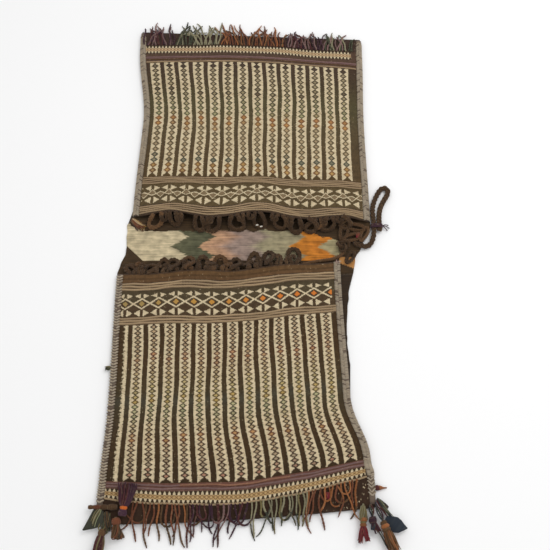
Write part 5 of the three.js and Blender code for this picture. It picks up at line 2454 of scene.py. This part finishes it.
FLAPS = (
    FeltFlap(
        "left_green_tassel", "left_green_felt", "dark_green_yarn", FORM.corner(-1, 3, 14), 250,
        Dye.SLATE_GREEN, -12, 49, ((-9, 12), (-10, 17), (-11, 20), (-11.6, 20), (-12.2, 6), (-13, -11)),
    ),
    FeltFlap(
        "right_teal_tassel", "right_teal_felt", "teal_felt", FORM.corner(1, -1, 12), 322,
        Dye.TEAL, 36, 47, ((-36, -15), (-36, -8), (-35, -3), (-34, -3), (-28, -6), (-11, -8)),
    ),
)
TASSELS = (
    Tassel(
        "left_purple_tassel", "purple_yarn", FORM.corner(-1, 58, 11), 83, flatness=0.45,
        bands=(Band(Dye.VIOLET, 0, 13, 9), Band(Dye.FLAME, 13, 21, 7.5)),
        skirts=(Skirt((Dye.PURPLE, Dye.PURPLE, Dye.PURPLE, Dye.MAROON), 19, 66, 6, 22, 130),),
    ),
    Tassel(
        "left_wrapped_cord", "rust_yarn", FORM.corner(-1, 46, 29), 180,
        bands=(
            Band(Dye.BROWN, 0, 20, 6.0), Band(Dye.BROWN, 20, 34, 5.2),
            Band(Dye.RUST, 34, 50, 4.2), Band(Dye.BROWN, 50, 60, 4.0),
        ),
    ),
    Tassel(
        "left_green_tassel", "dark_green_yarn", FORM.corner(-1, 3, 14), 236,
        cord=(Dye.OLIVE, Dye.DARK_GREEN, Dye.PALE_GREEN), cord_length=30,
        skirts=(Skirt((Dye.PALE_GREEN, Dye.OLIVE, Dye.GREY_GREEN), -14, 20, 4, 10, 12, drawn=7),),
    ),
    Tassel(
        "left_maroon_tassel", "maroon_yarn", FORM.corner(-1, 22, 9), 262,
        cord=(Dye.OLIVE, Dye.PALE_GREEN, Dye.OLIVE), cord_length=28,
        bands=(Band(Dye.BROWN, 24, 38, 7.5),),
        skirts=(
            Skirt((Dye.MAROON, Dye.MAROON, Dye.MAROON, Dye.OLIVE), 36, 86, 6, 13, 70),
            Skirt((Dye.OLIVE, Dye.DARK_GREEN, Dye.BROWN, Dye.SLATE_GREEN), -10, 30, 3, 13, 16, True, drawn=6),
            Skirt((Dye.SLATE_GREEN, Dye.BROWN), -12, 26, 3, 9, 12, drawn=14),
        ),
    ),
    Tassel(
        "left_rust_tassel", "rust_yarn", FORM.corner(-1, 44, 9), 280,
        cord=(Dye.BROWN, Dye.OLIVE, Dye.MAROON), cord_length=18,
        bands=(Band(Dye.RUST, 2, 15, 9.5),),
        skirts=(
            Skirt((Dye.RUST, Dye.BROWN, Dye.DARK_BROWN), 12, 42, 5, 12, 34, True),
            Skirt((Dye.SLATE_GREEN, Dye.BROWN), 26, 44, 5, 9, 16),
        ),
    ),
    Tassel(
        "right_crimson_tassel", "crimson_yarn", FORM.corner(1, 28, 2), 268,
        cord=(Dye.GREY_GREEN, Dye.OLIVE, Dye.GREY_GREEN, Dye.OLIVE), cord_length=32,
        bands=(Band(Dye.ORANGE, 28, 35, 7.5), Band(Dye.OLIVE, 35, 39, 6), Band(Dye.ORANGE, 39, 45, 7)),
        skirts=(
            Skirt((Dye.GREY_GREEN, Dye.OLIVE, Dye.SLATE_GREEN), 4, 34, 4, 11, 16, True),
            Skirt((Dye.CRIMSON, Dye.CRIMSON, Dye.MAROON), 43, 74, 4, 5, 32, drawn=9),
            Skirt((Dye.CRIMSON, Dye.CRIMSON, Dye.MAROON), 43, 77, 4, 5, 32, drawn=-7),
        ),
    ),
    Tassel(
        "right_knob_tassel", "purple_yarn", FORM.corner(1, 13, 2), 275,
        cord=(Dye.TEAL, Dye.DARK_GREEN, Dye.MAROON), cord_length=28,
        bands=(Band(Dye.PURPLE, 26, 40, 8),),
        skirts=(
            Skirt((Dye.TEAL, Dye.SLATE_GREEN), 36, 52, 4, 9, 12, True),
            Skirt((Dye.MAROON, Dye.PURPLE), 36, 60, 4, 8, 18, drawn=9),
            Skirt((Dye.TEAL, Dye.SLATE_GREEN), 38, 94, 3, 4, 4, drawn=24),
        ),
    ),
    Tassel(
        "right_orange_tassel", "orange_yarn", FORM.corner(1, 3, 5), 290,
        cord=(Dye.TEAL, Dye.SLATE_GREEN, Dye.PURPLE), cord_length=46,
        bands=(Band(Dye.BROWN, 40, 48, 7), Band(Dye.ORANGE, 47, 55, 9), Band(Dye.BROWN, 54, 62, 9)),
        skirts=(Skirt((Dye.ORANGE, Dye.RUST, Dye.BROWN), 60, 104, 7, 14, 80),),
    ),
    Tassel(
        "right_teal_tassel", "teal_felt", FORM.corner(1, -1, 12), 322,
        cord=(Dye.TEAL, Dye.MAROON, Dye.SLATE_GREEN), cord_length=28,
        skirts=(
            Skirt((Dye.PALE_GREEN, Dye.TEAL, Dye.MAROON, Dye.SLATE_GREEN), 0, 46, 3, 8, 14, drawn=-12),
        ),
    ),
    Tassel(
        "left_edge_tuft", "dark_green_yarn", solid_end("left_edge_tuft", 1), 180,
        skirts=(Skirt((Dye.DARK_GREEN, Dye.OLIVE), 0, 12, 3, 5, 20),),
    ),
    Tassel(
        "right_wrapped_tip", "orange_yarn", solid_end("right_wrapped_tip", 0), 0,
        bands=(Band(Dye.BROWN, -14, 1, 5.0), Band(Dye.MAROON, 0, 9, 5.4)),
        skirts=(Skirt((Dye.ORANGE, Dye.RUST), 5, 24, 4.6, 0.6, 34),),
    ),
    Tassel(
        "red_tuft", "crimson_yarn", FORM.face_point(FORM.at_from_fold(-1, 22.0), 0.676), 270, flatness=0.6,
        skirts=(Skirt((Dye.CRIMSON,), 0, 15, 2, 5, 26),),
    ),
    Tassel(
        "corner_thread_bundle", "crimson_yarn", FORM.back_point(0.78, -0.92), 322, flatness=0.6,
        skirts=(
            Skirt((Dye.GOLD, Dye.RUST, Dye.BROWN, Dye.TAN), -14, 26, 4, 11, 26),
            Skirt((Dye.VIOLET, Dye.DARK_BROWN, Dye.RUST), -14, 16, 3, 9, 14, drawn=-8),
        ),
    ),
)
UPPER_ROWS = (
    *(TwinedRow(m, Dye.TAN, 2.3) for m in (6.5, 12.2, 17.9, 23.6)),
    *(TwinedRow(m, Dye.TAN, 2.0) for m in (90, 94.8, 99.6, 104.4, 465)),
    TwinedRow(474, Dye.BROWN, 1.8),
    TwinedRow(481, Dye.MAUVE, 2.0),
)
LOWER_ROWS = (
    *(TwinedRow(m, Dye.TAN, 2.8) for m in (28.5, 35, 41.5, 112.5, 118.8, 125)),
    TwinedRow(485, Dye.FADED_RUST, end_dye=Dye.MAUVE),
    TwinedRow(492, Dye.MAUVE),
    TwinedRow(524, Dye.TAN, 2.4),
)
UPPER_LOOPS = (-0.8, -0.67, -0.44, -0.29, -0.14, 0.05, 0.25, 0.38, 0.52, 0.67, 0.81)
LOWER_LOOPS = (-0.88, -0.75, -0.62, -0.49, -0.36, -0.23, -0.09, 0.06, 0.21, 0.36, 0.6)
UPPER_FRINGE = (
    FringeGroup("mauve", -0.98, -0.71, (Dye.MAUVE, Dye.MAROON, Dye.MAUVE, Dye.PURPLE), reach=1.12),
    FringeGroup("grey_green", -0.7, -0.3, (Dye.GREY_GREEN, Dye.GREY_GREEN, Dye.DARK_GREEN), reach=1.15),
    FringeGroup("orange", -0.29, 0.31, (Dye.RUST, Dye.ORANGE, Dye.RUST, Dye.BROWN), reach=1.02),
    FringeGroup("purple", 0.32, 0.68, (Dye.PURPLE, Dye.MAUVE, Dye.MAROON), reach=0.86),
    FringeGroup("dark_green", 0.69, 0.94, (Dye.DARK_GREEN, Dye.GREY_GREEN, Dye.MAUVE), reach=0.86),
)
LOWER_FRINGE = (
    FringeGroup(
        "rust", -0.74, -0.36, (Dye.RUST, Dye.ORANGE, Dye.BROWN, Dye.RUST),
        (Dye.BROWN, Dye.DARK_BROWN, Dye.RUST), 1.02,
    ),
    FringeGroup(
        "purple", -0.35, 0.11, (Dye.PURPLE, Dye.MAROON, Dye.MAUVE, Dye.PURPLE),
        (Dye.PURPLE, Dye.MAROON, Dye.PURPLE), 0.88,
    ),
    FringeGroup(
        "grey_green", 0.12, 0.53, (Dye.GREY_GREEN, Dye.GREY_GREEN, Dye.OLIVE, Dye.GREY_GREEN),
        (Dye.SLATE_GREEN, Dye.OLIVE, Dye.DARK_GREEN), 0.86,
    ),
    FringeGroup(
        "orange", 0.54, 0.89, (Dye.ORANGE, Dye.ORANGE, Dye.RUST, Dye.ORANGE), (Dye.RUST, Dye.BROWN), 0.86,
    ),
)


def main() -> None:
    """Builds the bag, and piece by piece."""
    logging.basicConfig(level=logging.INFO, format="%(name)s: %(message)s")
    Studio().build()
    finishes = Finishes.dyed()
    LeadRope(finishes).build()
    BridgeTrim(finishes).build()
    _, upper_back, lower_back = BackCloth(finishes).build()
    for flap in FLAPS:
        flap.build(finishes)
    tassels = [tassel.build(finishes) for tassel in TASSELS]
    upper_trim = [
        TwinedRows("upper_twined_rows", 1, finishes, UPPER_ROWS).build(),
        SideBinding("upper_left_binding", 1, -1, finishes).build(),
        SideBinding("upper_right_binding", 1, 1, finishes).build(),
        *ClosureLoops(
            "upper_loop", 1, finishes, UPPER_LOOPS, first_seed=1, reach=27, width=26, pale_lump_loop=5,
        ).build(),
        *Fringe(
            "upper_fringe", 1, finishes, UPPER_FRINGE,
            setback=35, spacing=4.6, length=66, radius=2.3, lean=0.75, curl=0.9,
        ).build(),
    ]
    lower_trim = [
        TwinedRows("lower_twined_rows", -1, finishes, LOWER_ROWS).build(),
        SideBinding("lower_left_binding", -1, -1, finishes, open_part=(0, FORM.depth)).build(),
        SideBinding("lower_right_binding", -1, 1, finishes, frayed=18).build(),
        *ClosureLoops(
            "lower_loop", -1, finishes, LOWER_LOOPS,
            first_seed=31, reach=40, width=24, curls=2, short_before=-0.7,
        ).build(),
        *Fringe(
            "lower_fringe", -1, finishes, LOWER_FRINGE,
            setback=32, spacing=8.4, length=82, radius=2.4, lean=0.45, curl=0.9, returning=0.34,
        ).build(),
        *tassels,
    ]
    upper = PouchFace("upper_face", 1, finishes.upper_face, UpperFaceCloth.stripes)
    upper.build(upper_back, upper_trim)
    lower = PouchFace("lower_face", -1, finishes.lower_face, LowerFaceCloth.stripes)
    lower.build(lower_back, lower_trim)


if __name__ == "__main__":
    main()
